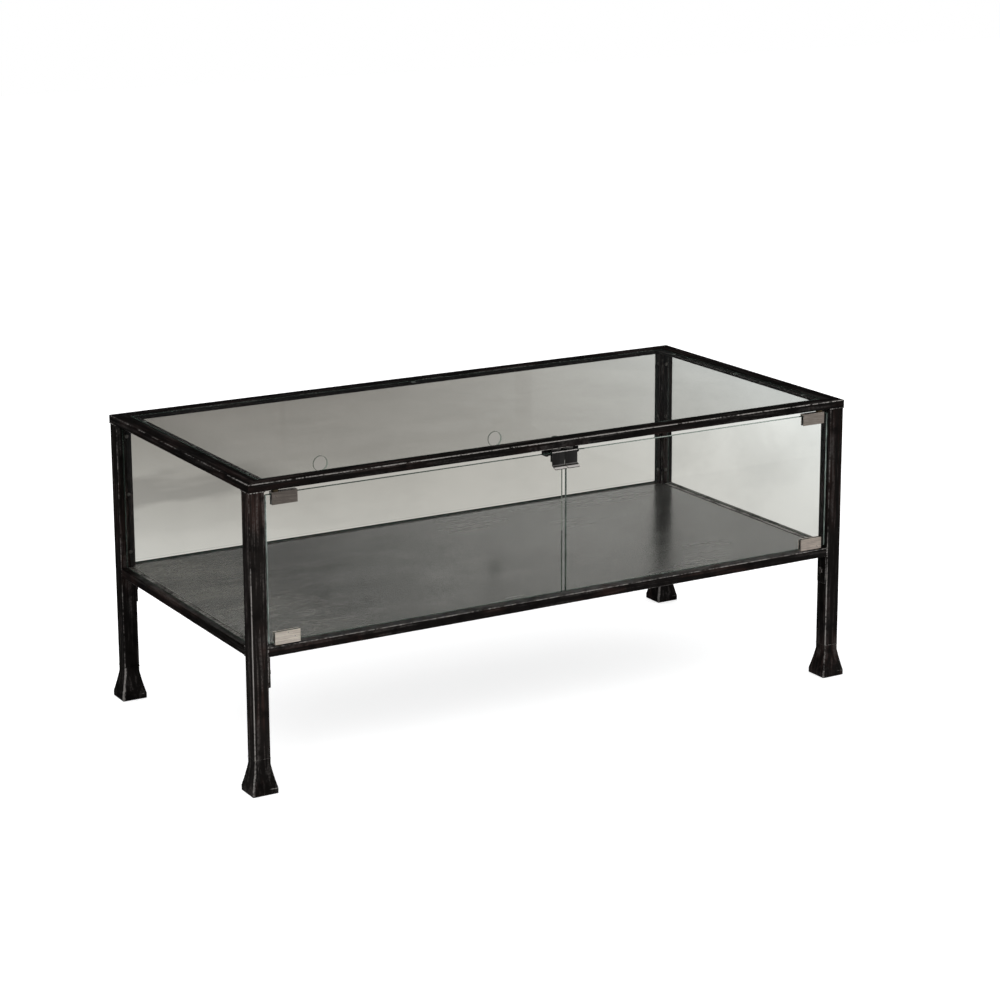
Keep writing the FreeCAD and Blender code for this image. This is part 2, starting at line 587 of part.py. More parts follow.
# Shelf panel: sheet steel, flush with the rails and notched round the legs.
shelf_panel = new_body("shelf_panel")
plan = new_sketch(shelf_panel, "XY_Plane")
long_x = f"({SHELF_X} - Dim.panel_gap)"
long_y = f"({SHELF_Y} - Dim.panel_gap)"
notch_x = f"({INNER_X} - Dim.panel_gap)"
notch_y = f"({INNER_Y} - Dim.panel_gap)"
outline(plan, [(f"{sx} * {x}", f"{sy} * {y}") for sx, sy, spots in (
    ("1", "1", [(long_x, notch_y), (notch_x, notch_y), (notch_x, long_y)]),
    ("-1", "1", [(notch_x, long_y), (notch_x, notch_y), (long_x, notch_y)]),
    ("-1", "-1", [(long_x, notch_y), (notch_x, notch_y), (notch_x, long_y)]),
    ("1", "-1", [(notch_x, long_y), (notch_x, notch_y), (long_x, notch_y)]),
) for x, y in spots])
pad(shelf_panel, plan, "Dim.panel_thickness", reverse=True)
place(shelf_panel, "0", "0", "Dim.shelf_level")


def leg_tab(corner, sx, sy):
    """A plate under the end of a long lower rail, flat against the leg."""
    body = new_body(f"leg_tab_{corner}")
    face = new_sketch(body, "YZ_Plane")
    rectangle(face, "-Dim.lower_rail_width / 2", "Dim.lower_rail_width / 2", "-Dim.tab_drop", "0")
    screw_hole(face, "0", "-Dim.tab_bolt_drop", BOLT_HOLE)
    pad(body, face, "Dim.tab_thickness", reverse=(sx == "1"))
    low = -number_of(body, "Dim.tab_drop")
    ease(body, "Fillet", "Dim.tab_thickness",
         lambda edge: edge.BoundBox.YLength < 0.01 and edge.BoundBox.ZMax < low + 0.01)
    place(body, f"{sx} * {INNER_X}", f"{sy} * {LOWER_Y}", LOWER_BOTTOM)


def facing(sx):
    """The way from a leg towards the middle of the table."""
    return Vector(-int(sx), 0, 0)


def tab_bolt(corner, sx, sy):
    face = f"({INNER_X} - Dim.tab_thickness)"
    head = shank(f"tab_bolt_head_{corner}", "Dim.bolt_head_radius", "Dim.bolt_head_height",
                 f"{sx} * {face}", f"{sy} * {LOWER_Y}", BOLT_LEVEL, facing(sx), sides=6)
    stem = shank(f"tab_bolt_stem_{corner}", "Dim.bolt_radius", "Dim.tab_thickness + Dim.nut_length",
                 f"{sx} * {face}", f"{sy} * {LOWER_Y}", BOLT_LEVEL, -facing(sx))
    return joined(f"tab_bolt_{corner}", [head, stem])


def rivet_nut(corner, sx, sy):
    spot = (f"{sx} * {INNER_X}", f"{sy} * {LOWER_Y}", BOLT_LEVEL, -facing(sx))
    barrel = shank(f"rivet_nut_barrel_{corner}", "Dim.nut_radius", "Dim.nut_length", *spot)
    bore = shank(f"rivet_nut_bore_{corner}", f"{ACROSS_CORNERS:.6f} * {BOLT_HOLE}",
                 "Dim.nut_length", *spot)
    return cut(f"rivet_nut_{corner}", barrel, bore)


for corner, (sx, sy) in CORNERS.items():
    leg_tab(corner, sx, sy)
group("tab_bolts", [tab_bolt(corner, sx, sy) for corner, (sx, sy) in CORNERS.items()])
group("rivet_nuts", [rivet_nut(corner, sx, sy) for corner, (sx, sy) in CORNERS.items()])

# Fixed panes, standing on the lower frame between the legs.
PANE_HEIGHT = f"({CASE_HEIGHT} - Dim.pane_top_gap)"
SIDE_PANE_X = f"({INNER_X} + {PANE_IN})"
BACK_PANE_Y = f"({INNER_Y} + {PANE_IN})"
pane("left_pane", f"({INNER_Y} - Dim.pane_end_gap)", PANE_HEIGHT,
     f"-{SIDE_PANE_X}", "0", "Dim.shelf_level", 90)
pane("right_pane", f"({INNER_Y} - Dim.pane_end_gap)", PANE_HEIGHT,
     SIDE_PANE_X, "0", "Dim.shelf_level", 90)
pane("back_pane", f"({INNER_X} - Dim.pane_end_gap)", PANE_HEIGHT,
     "0", BACK_PANE_Y, "Dim.shelf_level", 0,
     [(f"{side} * Dim.cable_hole_spread", "Dim.cable_hole_level", "Dim.cable_hole_radius")
      for side in ("-1", "1")])


# Glazing stops: flat strips screwed to the legs on the inside of each fixed pane.
def glazing_stop(name, x, y, turn):
    """A strip with its back on its own y = 0 and its face towards its own -y."""
    body = new_body(name)
    face = new_sketch(body, "XZ_Plane")
    rectangle(face, "-Dim.stop_width / 2", "Dim.stop_width / 2",
              "0", f"{STOP_TOP} - Dim.shelf_level")
    for level in SCREW_LEVELS:
        screw_hole(face, "0", f"{level} - Dim.shelf_level", SCREW_HOLE)
    pad(body, face, "Dim.stop_thickness")
    place(body, x, y, "Dim.shelf_level", turn)


def stop_screws(name, x, y, face):
    """Three screws whose heads lie on a stop's face."""
    screws = []
    for index, level in enumerate(SCREW_LEVELS, start=1):
        head = shank(f"{name}_head_{index}", "Dim.screw_head_radius", "Dim.screw_head_height",
                     x, y, level, face)
        stem = shank(f"{name}_stem_{index}", "Dim.screw_radius",
                     "Dim.stop_thickness + Dim.screw_bite", x, y, level, -face)
        screws.append(joined(f"{name}_{index}", [head, stem]))
    return screws


all_screws = []
for corner, (sx, sy) in CORNERS.items():
    back = sy == "1"
    stop_x = f"{sx} * ({INNER_X} + {STOP_IN})"
    glazing_stop(f"side_stop_{corner}", stop_x, f"{sy} * {INNER_Y}", 0 if back else 180)
    all_screws += stop_screws(f"side_screw_{corner}", stop_x,
                              f"{sy} * ({INNER_Y} - Dim.stop_thickness)", Vector(0, -int(sy), 0))
    if back:
        stop_y = f"{INNER_Y} + {STOP_IN}"
        glazing_stop(f"back_stop_{corner[5:]}", f"{sx} * {INNER_X}", stop_y, -90 * int(sx))
        all_screws += stop_screws(f"back_screw_{corner}", f"{sx} * ({INNER_X} - Dim.stop_thickness)",
                                  stop_y, facing(sx))
group("stop_screws", all_screws)


# Doors: frameless panes that turn on pins in U-shaped clamps.
def hinge_channel(body, half, inside, web, seat):
    """A channel along x, open downwards; the edge of the glass is at the body's own z = 0."""
    section = new_sketch(body, "YZ_Plane")
    outline(section, [(f"-{half}", CLAMP_LOW), (f"-{half}", web), (half, web), (half, CLAMP_LOW),
                      (inside, CLAMP_LOW), (inside, seat), (f"-{inside}", seat),
                      (f"-{inside}", CLAMP_LOW)])
    pad(body, section, "Dim.clamp_length", symmetric=True)


def turned_over(item, x, y, z, over):
    """Place a channel upright, or turned over for the bottom of a door."""
    if over:
        place(item, x, y, z)
        item.Placement.Rotation = FreeCAD.Rotation(Vector(1, 0, 0), 180)
        return item
    return place(item, x, y, z)


def hinge_clamp(name, sx, z, over):
    """A clamp on the glass edge, with a hole for its pin and two for its grub screws."""
    body = new_body(name)
    hinge_channel(body, CLAMP_HALF, SLOT_HALF, CLAMP_HIGH, "Dim.liner")
    half = number_of(body, CLAMP_HALF)
    ease(body, "Fillet", "Dim.clamp_round",
         lambda edge: abs(abs(edge.BoundBox.YMin) - half) < 0.01 and edge.BoundBox.YLength < 0.01)
    pin_hole = new_sketch(body, "XY_Plane")
    circle(pin_hole, f"{sx} * (Dim.clamp_length / 2 - Dim.pin_inset)", "0", "Dim.pin_radius")
    pocket(body, pin_hole, CLAMP_HIGH, reverse=True)
    grub_holes = new_sketch(body, "XZ_Plane")
    for side in ("-1", "1"):
        screw_hole(grub_holes, f"{side} * Dim.set_screw_spread",
                   f"{CLAMP_LOW} + Dim.set_screw_drop", "Dim.set_screw_radius")
    pocket(body, grub_holes, CLAMP_HALF, reverse=over)
    turned_over(body, f"{sx} * {CLAMP_X}", f"-{DOOR_Y}", z, over)


def hinge_liner(name, sx, z, over):
    """A rubber channel between the clamp and the glass."""
    body = doc.addObject("PartDesign::Body", name)
    hinge_channel(body, SLOT_HALF, "(Dim.glass / 2)", "Dim.liner", "0")
    return turned_over(body, f"{sx} * {CLAMP_X}", f"-{DOOR_Y}", z, over)


def grub_screws(name, sx, level):
    """Two screws through the clamp's inner cheek, against the liner."""
    start = f"-{DOOR_Y} + {SLOT_HALF}"
    return [shank(f"{name}_{index}", "Dim.set_screw_radius", "Dim.clamp_wall + Dim.set_screw_stand",
                  f"{sx} * {CLAMP_X} + {side} * Dim.set_screw_spread", start, level, Vector(0, 1, 0))
            for index, side in enumerate(("-1", "1"), start=1)]


PIN_GAP_TOP = f"(Dim.door_top_gap - {CLAMP_HIGH})"
PIN_GAP_BOTTOM = f"(Dim.door_bottom_gap - {CLAMP_HIGH})"


def bushing(name, sx, face, gap, up):
    """A flanged sleeve in the rail, round the hinge pin."""
    axis = Vector(0, 0, 1 if up else -1)
    spot = (f"{sx} * {PIVOT_X}", f"-{DOOR_Y}", face)
    flange = rod(f"{name}_flange", f"({SLEEVE_RADIUS} + Dim.bushing_flange)",
                 f"{gap} - Dim.bushing_play", *spot, -axis)
    sleeve = shank(f"{name}_sleeve", SLEEVE_RADIUS, "Dim.bushing_reach", *spot, axis)
    start = f"{face} - {gap}" if up else f"{face} + {gap}"
    bore = rod(f"{name}_bore", "(Dim.pin_radius + Dim.pin_running_gap)",
               f"{gap} + Dim.bushing_reach", spot[0], spot[1], start, axis)
    return cut(name, joined(f"{name}_outside", [flange, sleeve]), bore)


def hinge_pin(name, sx, level, gap, up):
    """A pin from inside the clamp's web to the end of the bushing."""
    start = f"{level} + Dim.liner" if up else f"{level} - Dim.liner"
    return rod(name, "Dim.pin_radius", f"Dim.clamp_web + {gap} + Dim.bushing_reach",
               f"{sx} * {PIVOT_X}", f"-{DOOR_Y}", start, Vector(0, 0, 1 if up else -1))


def strike_clip(name, sx):
    """A folded clip over the glass edge, with a pull lip at the foot of its front."""
    body = new_body(name)
    inside = "(Dim.glass / 2 + Dim.strike_play)"
    tip = f"-({STRIKE_HALF} + Dim.lip_reach)"
    section = new_sketch(body, "YZ_Plane")
    outline(section, [(inside, "-Dim.strike_back"), (STRIKE_HALF, "-Dim.strike_back"),
                      (STRIKE_HALF, "Dim.strike_sheet"), (f"-{STRIKE_HALF}", "Dim.strike_sheet"),
                      (f"-{STRIKE_HALF}", "Dim.strike_sheet - Dim.strike_front"),
                      (tip, "Dim.strike_sheet - Dim.strike_front - Dim.lip_fall"),
                      (tip, "-Dim.strike_front - Dim.lip_fall"),
                      (f"-{inside}", "-Dim.strike_front"), (f"-{inside}", "0"), (inside, "0")])
    pad(body, section, "Dim.strike_width", symmetric=True)
    past_front = number_of(body, f"{STRIKE_HALF} + Dim.lip_reach / 2")
    ease(body, "Fillet", "Dim.lip_round",
         lambda edge: upright(edge) and edge.BoundBox.YMax < -past_front)
    place(body, f"{sx} * (Dim.strike_gap + Dim.strike_width / 2)", f"-{DOOR_Y}", DOOR_TOP)


def door(side, sx):
    """One door: glass, two clamps with their liners, screws and pins, and a strike clip."""
    inner_edge = "Dim.door_centre_gap / 2"
    pane(f"{side}_door_glass", f"(({DOOR_EDGE} - {inner_edge}) / 2)", f"{DOOR_TOP} - {DOOR_BOTTOM}",
         f"{sx} * (({DOOR_EDGE} + {inner_edge}) / 2)", f"-{DOOR_Y}", DOOR_BOTTOM)
    hinge_clamp(f"{side}_top_hinge_clamp", sx, DOOR_TOP, False)
    hinge_clamp(f"{side}_bottom_hinge_clamp", sx, DOOR_BOTTOM, True)
    group(f"{side}_hinge_liners", [hinge_liner(f"{side}_top_liner", sx, DOOR_TOP, False),
                                   hinge_liner(f"{side}_bottom_liner", sx, DOOR_BOTTOM, True)])
    screw_level = f"({CLAMP_LOW} + Dim.set_screw_drop)"
    group(f"{side}_hinge_screws",
          grub_screws(f"{side}_top_grub", sx, f"{DOOR_TOP} + {screw_level}")
          + grub_screws(f"{side}_bottom_grub", sx, f"{DOOR_BOTTOM} - {screw_level}"))
    group(f"{side}_hinge_pins", [
        hinge_pin(f"{side}_top_pin", sx, DOOR_TOP, PIN_GAP_TOP, True),
        hinge_pin(f"{side}_bottom_pin", sx, DOOR_BOTTOM, PIN_GAP_BOTTOM, False)])
    strike_clip(f"{side}_strike_clip", sx)


SIDES = {"left": "-1", "right": "1"}
for side, sx in SIDES.items():
    door(side, sx)
group("hinge_bushings", [
    bushing(f"{side}_{end}_bushing", sx, face, gap, up)
    for side, sx in SIDES.items()
    for end, face, gap, up in (("top", FRAME_BOTTOM, PIN_GAP_TOP, True),
                               ("bottom", "Dim.shelf_level", PIN_GAP_BOTTOM, False))])

# Magnetic catch under the middle of the top front rail.
CATCH_BOTTOM = f"({FRAME_BOTTOM} - Dim.catch_height)"
MAGNET_LEVEL = f"({CATCH_BOTTOM} + (Dim.catch_height - Dim.magnet_height) / 2)"
catch_bar = [block("catch_bar", f"-{CATCH_SCREW_X}", f"-{CATCH_FRONT}", CATCH_BOTTOM,
                   f"2 * {CATCH_SCREW_X}", "Dim.catch_depth", "Dim.catch_height")]
catch_holes = []
magnets = []
screws = []
for side, sx in SIDES.items():
    spot = (f"{sx} * {CATCH_SCREW_X}", f"-{CATCH_Y}")
    catch_bar.append(rod(f"catch_end_{side}", "Dim.catch_depth / 2", "Dim.catch_height",
                         *spot, CATCH_BOTTOM))
    catch_holes.append(shank(f"catch_hole_{side}", f"{ACROSS_CORNERS:.6f} * {SCREW_HOLE}",
                             "Dim.catch_height", *spot, CATCH_BOTTOM))
    catch_holes.append(block(f"magnet_pocket_{side}",
                             f"{sx} * Dim.magnet_spread - Dim.magnet_length / 2 - Dim.magnet_play",
                             f"-{CATCH_FRONT}", f"{MAGNET_LEVEL} - Dim.magnet_play",
                             "Dim.magnet_length + 2 * Dim.magnet_play",
                             "Dim.magnet_depth + Dim.magnet_play",
                             "Dim.magnet_height + 2 * Dim.magnet_play"))
    magnets.append(block(f"magnet_{side}", f"{sx} * Dim.magnet_spread - Dim.magnet_length / 2",
                         f"-{CATCH_FRONT}", MAGNET_LEVEL,
                         "Dim.magnet_length", "Dim.magnet_depth", "Dim.magnet_height"))
    head = shank(f"catch_screw_head_{side}", "Dim.screw_head_radius", "Dim.screw_head_height",
                 *spot, CATCH_BOTTOM, Vector(0, 0, -1))
    stem = shank(f"catch_screw_stem_{side}", "Dim.screw_radius",
                 "Dim.catch_height + Dim.screw_bite", *spot, CATCH_BOTTOM)
    screws.append(joined(f"catch_screw_{side}", [head, stem]))
keep(cut("catch_body", joined("catch_solid", catch_bar), joined("catch_cuts", catch_holes)), "catch_body")
group("catch_magnets", magnets)
group("catch_screws", screws)

doc.recompute()
for item in doc.Objects:
    if "Invalid" in item.State or "Error" in item.State:
        raise ValueError(f"{item.Name} failed: {item.State}")
for item in pieces:
    if item.Shape.isNull() or not item.Shape.isValid():
        raise ValueError(f"{item.Label} has no valid shape")

os.makedirs("parts", exist_ok=True)
for item in pieces:
    item.Shape.exportStep(f"parts/{item.Label}.step")
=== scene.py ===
"""Collectors display table: worn dark steel frame on flared feet, glass top,
three fixed panes and two pivot-hung glass doors."""

import math
import random

import bmesh
import bpy
from bpy.props import FloatProperty, FloatVectorProperty, PointerProperty
from mathutils import Matrix, Vector, noise


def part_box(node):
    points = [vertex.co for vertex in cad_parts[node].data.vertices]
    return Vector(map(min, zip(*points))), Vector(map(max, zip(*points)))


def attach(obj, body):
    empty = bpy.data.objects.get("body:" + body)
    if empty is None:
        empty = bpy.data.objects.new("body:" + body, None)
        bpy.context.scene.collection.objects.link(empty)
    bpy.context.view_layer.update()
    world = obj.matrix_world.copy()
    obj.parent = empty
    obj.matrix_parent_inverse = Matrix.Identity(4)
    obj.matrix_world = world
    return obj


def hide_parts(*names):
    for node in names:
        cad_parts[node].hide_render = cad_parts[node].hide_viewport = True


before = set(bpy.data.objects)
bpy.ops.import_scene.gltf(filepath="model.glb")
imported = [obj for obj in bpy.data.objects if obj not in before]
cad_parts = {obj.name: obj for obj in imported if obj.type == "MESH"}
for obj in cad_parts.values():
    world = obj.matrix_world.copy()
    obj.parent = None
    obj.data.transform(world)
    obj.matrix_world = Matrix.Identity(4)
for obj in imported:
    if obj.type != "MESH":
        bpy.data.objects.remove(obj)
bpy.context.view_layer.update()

bl_info = {
    "name": "Collectors Display Table",
    "version": (1, 0, 0),
    "blender": (4, 5, 0),
    "location": "View3D > Sidebar > Display Table",
    "description": "Builds a worn steel and glass display table around its packed frame",
    "category": "Add Mesh",
}

X, Y, Z = 0, 1, 2
CASE = "case"
SIDES = ((-1, "left"), (1, "right"))
ENDS = ((-1, "front"), (1, "back"))
CORNERS = [(sx, sy, side, end) for sx, side in SIDES for sy, end in ENDS]

MERGE = 2e-6  # vertices nearer than this are made one
TOUCH = 1e-6  # nearer than this counts as the same place

LENGTH = {"unit": "LENGTH", "subtype": "DISTANCE"}
TURN = {"unit": "ROTATION", "subtype": "ANGLE"}
COLOUR = {"min": 0.0, "max": 1.0, "size": 3, "subtype": "COLOR"}


# ---------------------------------------------------------------- settings


class TableShape(bpy.types.PropertyGroup):
    """How the handmade metal and the glass are rounded and dressed."""

    arris_round: FloatProperty(
        name="Arris Rounding",
        description="Radius that the long edges of the bars are rubbed to",
        default=0.0010, min=0.0003, max=0.003, **LENGTH,
    )
    rub_width: FloatProperty(
        name="Rubbed Width",
        description="How far the rubbed metal reaches on to the flats beside an edge",
        default=0.0008, min=0.0002, max=0.006, **LENGTH,
    )
    hand_wave: FloatProperty(
        name="Hand Finish",
        description="Depth of the hollows left by filing and grinding",
        default=0.00035, min=0.0, max=0.002, **LENGTH,
    )
    bead_size: FloatProperty(
        name="Weld Bead",
        description="Radius of the drops of a weld bead",
        default=0.0018, min=0.0005, max=0.004, **LENGTH,
    )
    glass_edge: FloatProperty(
        name="Glass Edge Bevel",
        description="Width of the ground bevel round each sheet of glass",
        default=0.0007, min=0.0002, max=0.002, **LENGTH,
    )


class TableFinish(bpy.types.PropertyGroup):
    """Colours of the table's finishes."""

    steel: FloatVectorProperty(
        name="Blackened Steel",
        description="Colour of the waxed black steel",
        default=(0.0048, 0.0039, 0.0035), **COLOUR,
    )
    rubbed_steel: FloatVectorProperty(
        name="Rubbed Steel",
        description="Colour of bare steel where the black is rubbed off",
        default=(0.42, 0.395, 0.375), **COLOUR,
    )
    brown: FloatVectorProperty(
        name="Brown Bloom",
        description="Colour of the brown bloom under the wax",
        default=(0.021, 0.0105, 0.0085), **COLOUR,
    )
    glass: FloatVectorProperty(
        name="Glass Tint",
        description="Colour left in light after each sheet of glass",
        default=(0.93, 0.935, 0.925), **COLOUR,
    )
    glass_edge: FloatVectorProperty(
        name="Glass Edge",
        description="Green of the glass seen through its edge",
        default=(0.045, 0.075, 0.060), **COLOUR,
    )
    shelf: FloatVectorProperty(
        name="Shelf Sheet",
        description="Colour of the clouded grey shelf sheet",
        default=(0.0115, 0.0112, 0.0102), **COLOUR,
    )
    nickel: FloatVectorProperty(
        name="Satin Nickel",
        description="Colour of the brushed hinge clamps",
        default=(0.40, 0.345, 0.30), **COLOUR,
    )


class TableStage(bpy.types.PropertyGroup):
    """Camera and light of the studio."""

    azimuth: FloatProperty(
        name="Azimuth",
        description="Angle of the camera round the table, from the front",
        default=math.radians(-31.197), **TURN,
    )
    elevation: FloatProperty(
        name="Elevation",
        description="Angle of the camera above the horizon",
        default=math.radians(12.792), **TURN,
    )
    distance: FloatProperty(
        name="Distance",
        description="Distance from the camera to its target",
        default=4.25494, **LENGTH,
    )
    target: FloatVectorProperty(
        name="Target",
        description="Point that the camera looks at",
        default=(0.110563, 0.0, 0.46829), size=3, unit="LENGTH", subtype="TRANSLATION",
    )
    backdrop: FloatProperty(
        name="Backdrop",
        description="Brightness of the pale backdrop as the camera sees it",
        default=1.0, min=0.0, max=2.0,
    )
    studio: FloatProperty(
        name="Studio",
        description="Strength of the soft light that fills the studio",
        default=0.62, min=0.0, max=3.0,
    )


# ---------------------------------------------------------------- mesh helpers


def ramp(value, low, high):
    t = max(0.0, min(1.0, (value - low) / (high - low)))
    return t * t * (3 - 2 * t)


def corners(points):
    """Lowest and highest corner of the box round some points."""
    return [Vector([pick(p[a] for p in points) for a in range(3)]) for pick in (min, max)]


def block(bm, low, high):
    """Adds a box from corner to corner."""
    made = bmesh.ops.create_cube(bm, size=1.0)["verts"]
    bmesh.ops.scale(bm, vec=high - low, verts=made)
    bmesh.ops.translate(bm, vec=(low + high) / 2, verts=made)


def runs_along(edge, axis):
    d = edge.verts[1].co - edge.verts[0].co
    return abs(d[axis]) > 0.999 * d.length


def rise(edge):
    return abs(edge.verts[0].co.z - edge.verts[1].co.z)


def sharp(bm, degrees):
    limit = math.radians(degrees)
    return [e for e in bm.edges if len(e.link_faces) == 2 and e.calc_face_angle(0.0) > limit]


def round_edges(bm, edges, radius, segments=2):
    return bmesh.ops.bevel(
        bm,
        geom=list(edges),
        offset=radius,
        offset_type="OFFSET",
        segments=segments,
        profile=0.5,
        affect="EDGES",
        material=-1,
        clamp_overlap=True,
    )["faces"]


def slice_mesh(bm, point, normal, clear_outer=False):
    return bmesh.ops.bisect_plane(
        bm,
        geom=bm.verts[:] + bm.edges[:] + bm.faces[:],
        plane_co=point,
        plane_no=normal,
        clear_outer=clear_outer,
        dist=TOUCH,
    )


def slice_at(bm, axis, place):
    """Cuts new edges into a mesh all round a place on an axis."""
    point, normal = Vector(), Vector()
    point[axis], normal[axis] = place, 1.0
    slice_mesh(bm, point, normal)


def cap_cut(bm, cut):
    """Closes the hole that a cut left and returns the new faces."""
    edges = [g for g in cut["geom_cut"] if isinstance(g, bmesh.types.BMEdge)]
    loose = [e for e in edges if e.is_valid and e.is_boundary]
    return bmesh.ops.holes_fill(bm, edges=loose, sides=0)["faces"]


def tidy(bm):
    bmesh.ops.remove_doubles(bm, verts=bm.verts[:], dist=MERGE)
    bmesh.ops.recalc_face_normals(bm, faces=bm.faces[:])


def copy_of(source):
    """A merged bmesh copy of a CAD node with its flats joined up again."""
    bm = bmesh.new()
    bm.from_mesh(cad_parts[source].data)
    bmesh.ops.remove_doubles(bm, verts=bm.verts[:], dist=MERGE)
    bmesh.ops.dissolve_limit(
        bm, angle_limit=math.radians(0.6), verts=bm.verts[:], edges=bm.edges[:]
    )
    return bm


def arris_layer(parts):
    """The layer that stores how rubbed each face or vertex is, 1 being bare metal; on the
    strike clips it also holds painted highlight and painted shade.
    """
    layers = parts.layers.float
    return layers.get("arris") or layers.new("arris")


def finish_piece(bm, name, body, materials, nodes=(), smooth=38.0):
    """Turns a bmesh into a piece that rides on its body and stands for its CAD nodes."""
    mesh = bpy.data.meshes.new(name)
    for f in bm.faces:
        f.smooth = True
    bm.to_mesh(mesh)
    bm.free()
    mesh.set_sharp_from_angle(angle=math.radians(smooth))
    piece = bpy.data.objects.new(name, mesh)
    bpy.context.scene.collection.objects.link(piece)
    for m in materials:
        mesh.materials.append(m)
    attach(piece, body)
    if nodes:
        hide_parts(*nodes)
    return piece


def worn_copy(source, name, body, slot, look, bevel, amount, segments=2, smooth=38.0):
    """A copy of a CAD node with its sharp edges rounded and marked as rubbed."""
    bm = copy_of(source)
    layer = arris_layer(bm.faces)
    for f in round_edges(bm, sharp(bm, 40), bevel, segments):
        f[layer] = amount
    finish_piece(bm, name, body, [look], [source], smooth)


# ---------------------------------------------------------------- bars and beads


BAR_STEP = 0.006  # a bar is cut into stretches of about this length
END_ROUND = 0.00035  # round of a mitred end


def wave(co, size, seed):
    """Depth of the hollows of hand filing at a point, at most size."""
    p = Vector((co.x * 9 + seed, co.y * 9, co.z * 9))
    q = Vector((co.x * 70, co.y * 70 + seed, co.z * 70))
    return size * (0.6 * abs(noise.noise(p)) + 0.4 * abs(noise.noise(q)))


def worn_bar(low, high, axis, rub, seed, mitres=()):
    """A bar along an axis with rounded, rubbed arrises and filed flats.

    rub(u, w, s) gives how bright the arris is on side u (-1 or 1) of the first
    cross axis and side w of the second, at the place s along the bar. mitres
    are (point, outward normal) pairs that cut its ends.
    """
    shape = bpy.context.scene.table_shape
    r, flank = shape.arris_round, shape.rub_width
    across = [a for a in range(3) if a != axis]
    bm = bmesh.new()
    block(bm, low, high)
    bmesh.ops.subdivide_edges(
        bm,
        edges=[e for e in bm.edges if runs_along(e, axis)],
        cuts=max(2, int((high[axis] - low[axis]) / BAR_STEP)),
        use_grid_fill=True,
    )

    def at_arris(co):
        return all(min(abs(co[a] - low[a]), abs(co[a] - high[a])) < TOUCH for a in across)

    round_edges(
        bm, [e for e in bm.edges if runs_along(e, axis) and at_arris(e.verts[0].co)], r
    )
    for a in across:
        for place in (low[a] + r + flank, high[a] - r - flank, (low[a] + high[a]) / 2):
            slice_at(bm, a, place)
    for point, normal in mitres:
        ends = cap_cut(bm, slice_mesh(bm, point, normal, clear_outer=True))
        rim = {e for f in ends for e in f.edges if len(e.link_faces) == 2}
        round_edges(bm, rim, END_ROUND, 1)
    layer = arris_layer(bm.verts)
    p, q = across
    mid = (low + high) / 2
    for v in bm.verts:
        c = v.co.copy()
        u, w = (1 if c[p] > mid[p] else -1), (1 if c[q] > mid[q] else -1)
        reach = max(min(c[a] - low[a], high[a] - c[a]) for a in across)
        near = 1.0 - ramp(reach, r * 1.02, r + flank)
        v[layer] = near * rub(u, w, c[axis])
        for a in across:
            if min(c[a] - low[a], high[a] - c[a]) < r * 1.5:
                side = 1.0 if c[a] < mid[a] else -1.0
                v.co[a] += side * wave(c, shape.hand_wave, seed + a * 3.1)
    return bm


def bead_row(bm, start, end, radius, flat, seed, amount=0.6):
    """A row of overlapping weld drops from start to end.

    flat tells for each axis whether the drops are pressed flat along it, and
    amount is how rubbed they are.
    """
    layer = arris_layer(bm.faces)
    start, end = Vector(start), Vector(end)
    rnd = random.Random(seed)
    count = max(2, int((end - start).length / (radius * 0.95)))
    for i in range(count + 1):
        t = (i + rnd.uniform(-0.2, 0.2)) / count
        at = start.lerp(end, max(0.0, min(1.0, t)))
        made = bmesh.ops.create_icosphere(bm, subdivisions=2, radius=radius)["verts"]
        scale = Vector([rnd.uniform(0.55, 1.1)] * 3)
        share = amount * rnd.uniform(0.55, 1.3)
        for f in {f for v in made for f in v.link_faces}:
            f[layer] = share
        for a in range(3):
            if flat[a]:
                scale[a] *= 0.5
        bmesh.ops.scale(bm, vec=scale, verts=made)
        for v in made:
            v.co += v.co.normalized() * radius * 0.16 * noise.noise(v.co * 900 + at * 50)
        bmesh.ops.translate(bm, vec=at, verts=made)


def seam_rows(x0, x1, y0, y1, z):
    """The four sides of a level square seam: start, end and flat axes of each."""
    return (
        ((x0, y0, z), (x1, y0, z), (0, 1, 1)),
        ((x0, y0, z), (x0, y1, z), (1, 0, 1)),
        ((x1, y0, z), (x1, y1, z), (1, 0, 1)),
        ((x0, y1, z), (x1, y1, z), (0, 1, 1)),
    )


# ---------------------------------------------------------------- shader nodes


def node(tree, kind, **values):
    made = tree.nodes.new(kind)
    for key, value in values.items():
        if key in made.inputs:
            made.inputs[key].default_value = value
        else:
            setattr(made, key, value)
    return made


def join(tree, source, target, out=0, into=0):
    tree.links.new(source.outputs[out], target.inputs[into])


def feed(tree, value, target, into, out=0):
    """Gives a socket a number, a colour or the output of a node."""
    if isinstance(value, (int, float)):
        target.inputs[into].default_value = value
    elif isinstance(value, tuple):
        target.inputs[into].default_value = (*value, 1.0)
    else:
        join(tree, value, target, out, into)


def new_material(name):
    m = bpy.data.materials.new(name)
    m.use_nodes = True
    tree = m.node_tree
    tree.nodes.clear()
    output = node(tree, "ShaderNodeOutputMaterial")
    shader = node(tree, "ShaderNodeBsdfPrincipled")
    join(tree, shader, output, 0, "Surface")
    return m, tree, shader, output


def object_space(tree, scale=(1, 1, 1), turn=0.0):
    """Object coordinates, scaled and turned about Z."""
    mapping = node(tree, "ShaderNodeMapping", Scale=scale, Rotation=(0, 0, turn))
    join(tree, node(tree, "ShaderNodeTexCoord"), mapping, "Object", "Vector")
    return mapping


def split_space(tree):
    parts = node(tree, "ShaderNodeSeparateXYZ")
    join(tree, object_space(tree), parts)
    return parts


def noise_at(tree, mapping, scale, detail, rough):
    n = node(tree, "ShaderNodeTexNoise", Scale=scale, Detail=detail, Roughness=rough)
    join(tree, mapping, n, 0, "Vector")
    return n


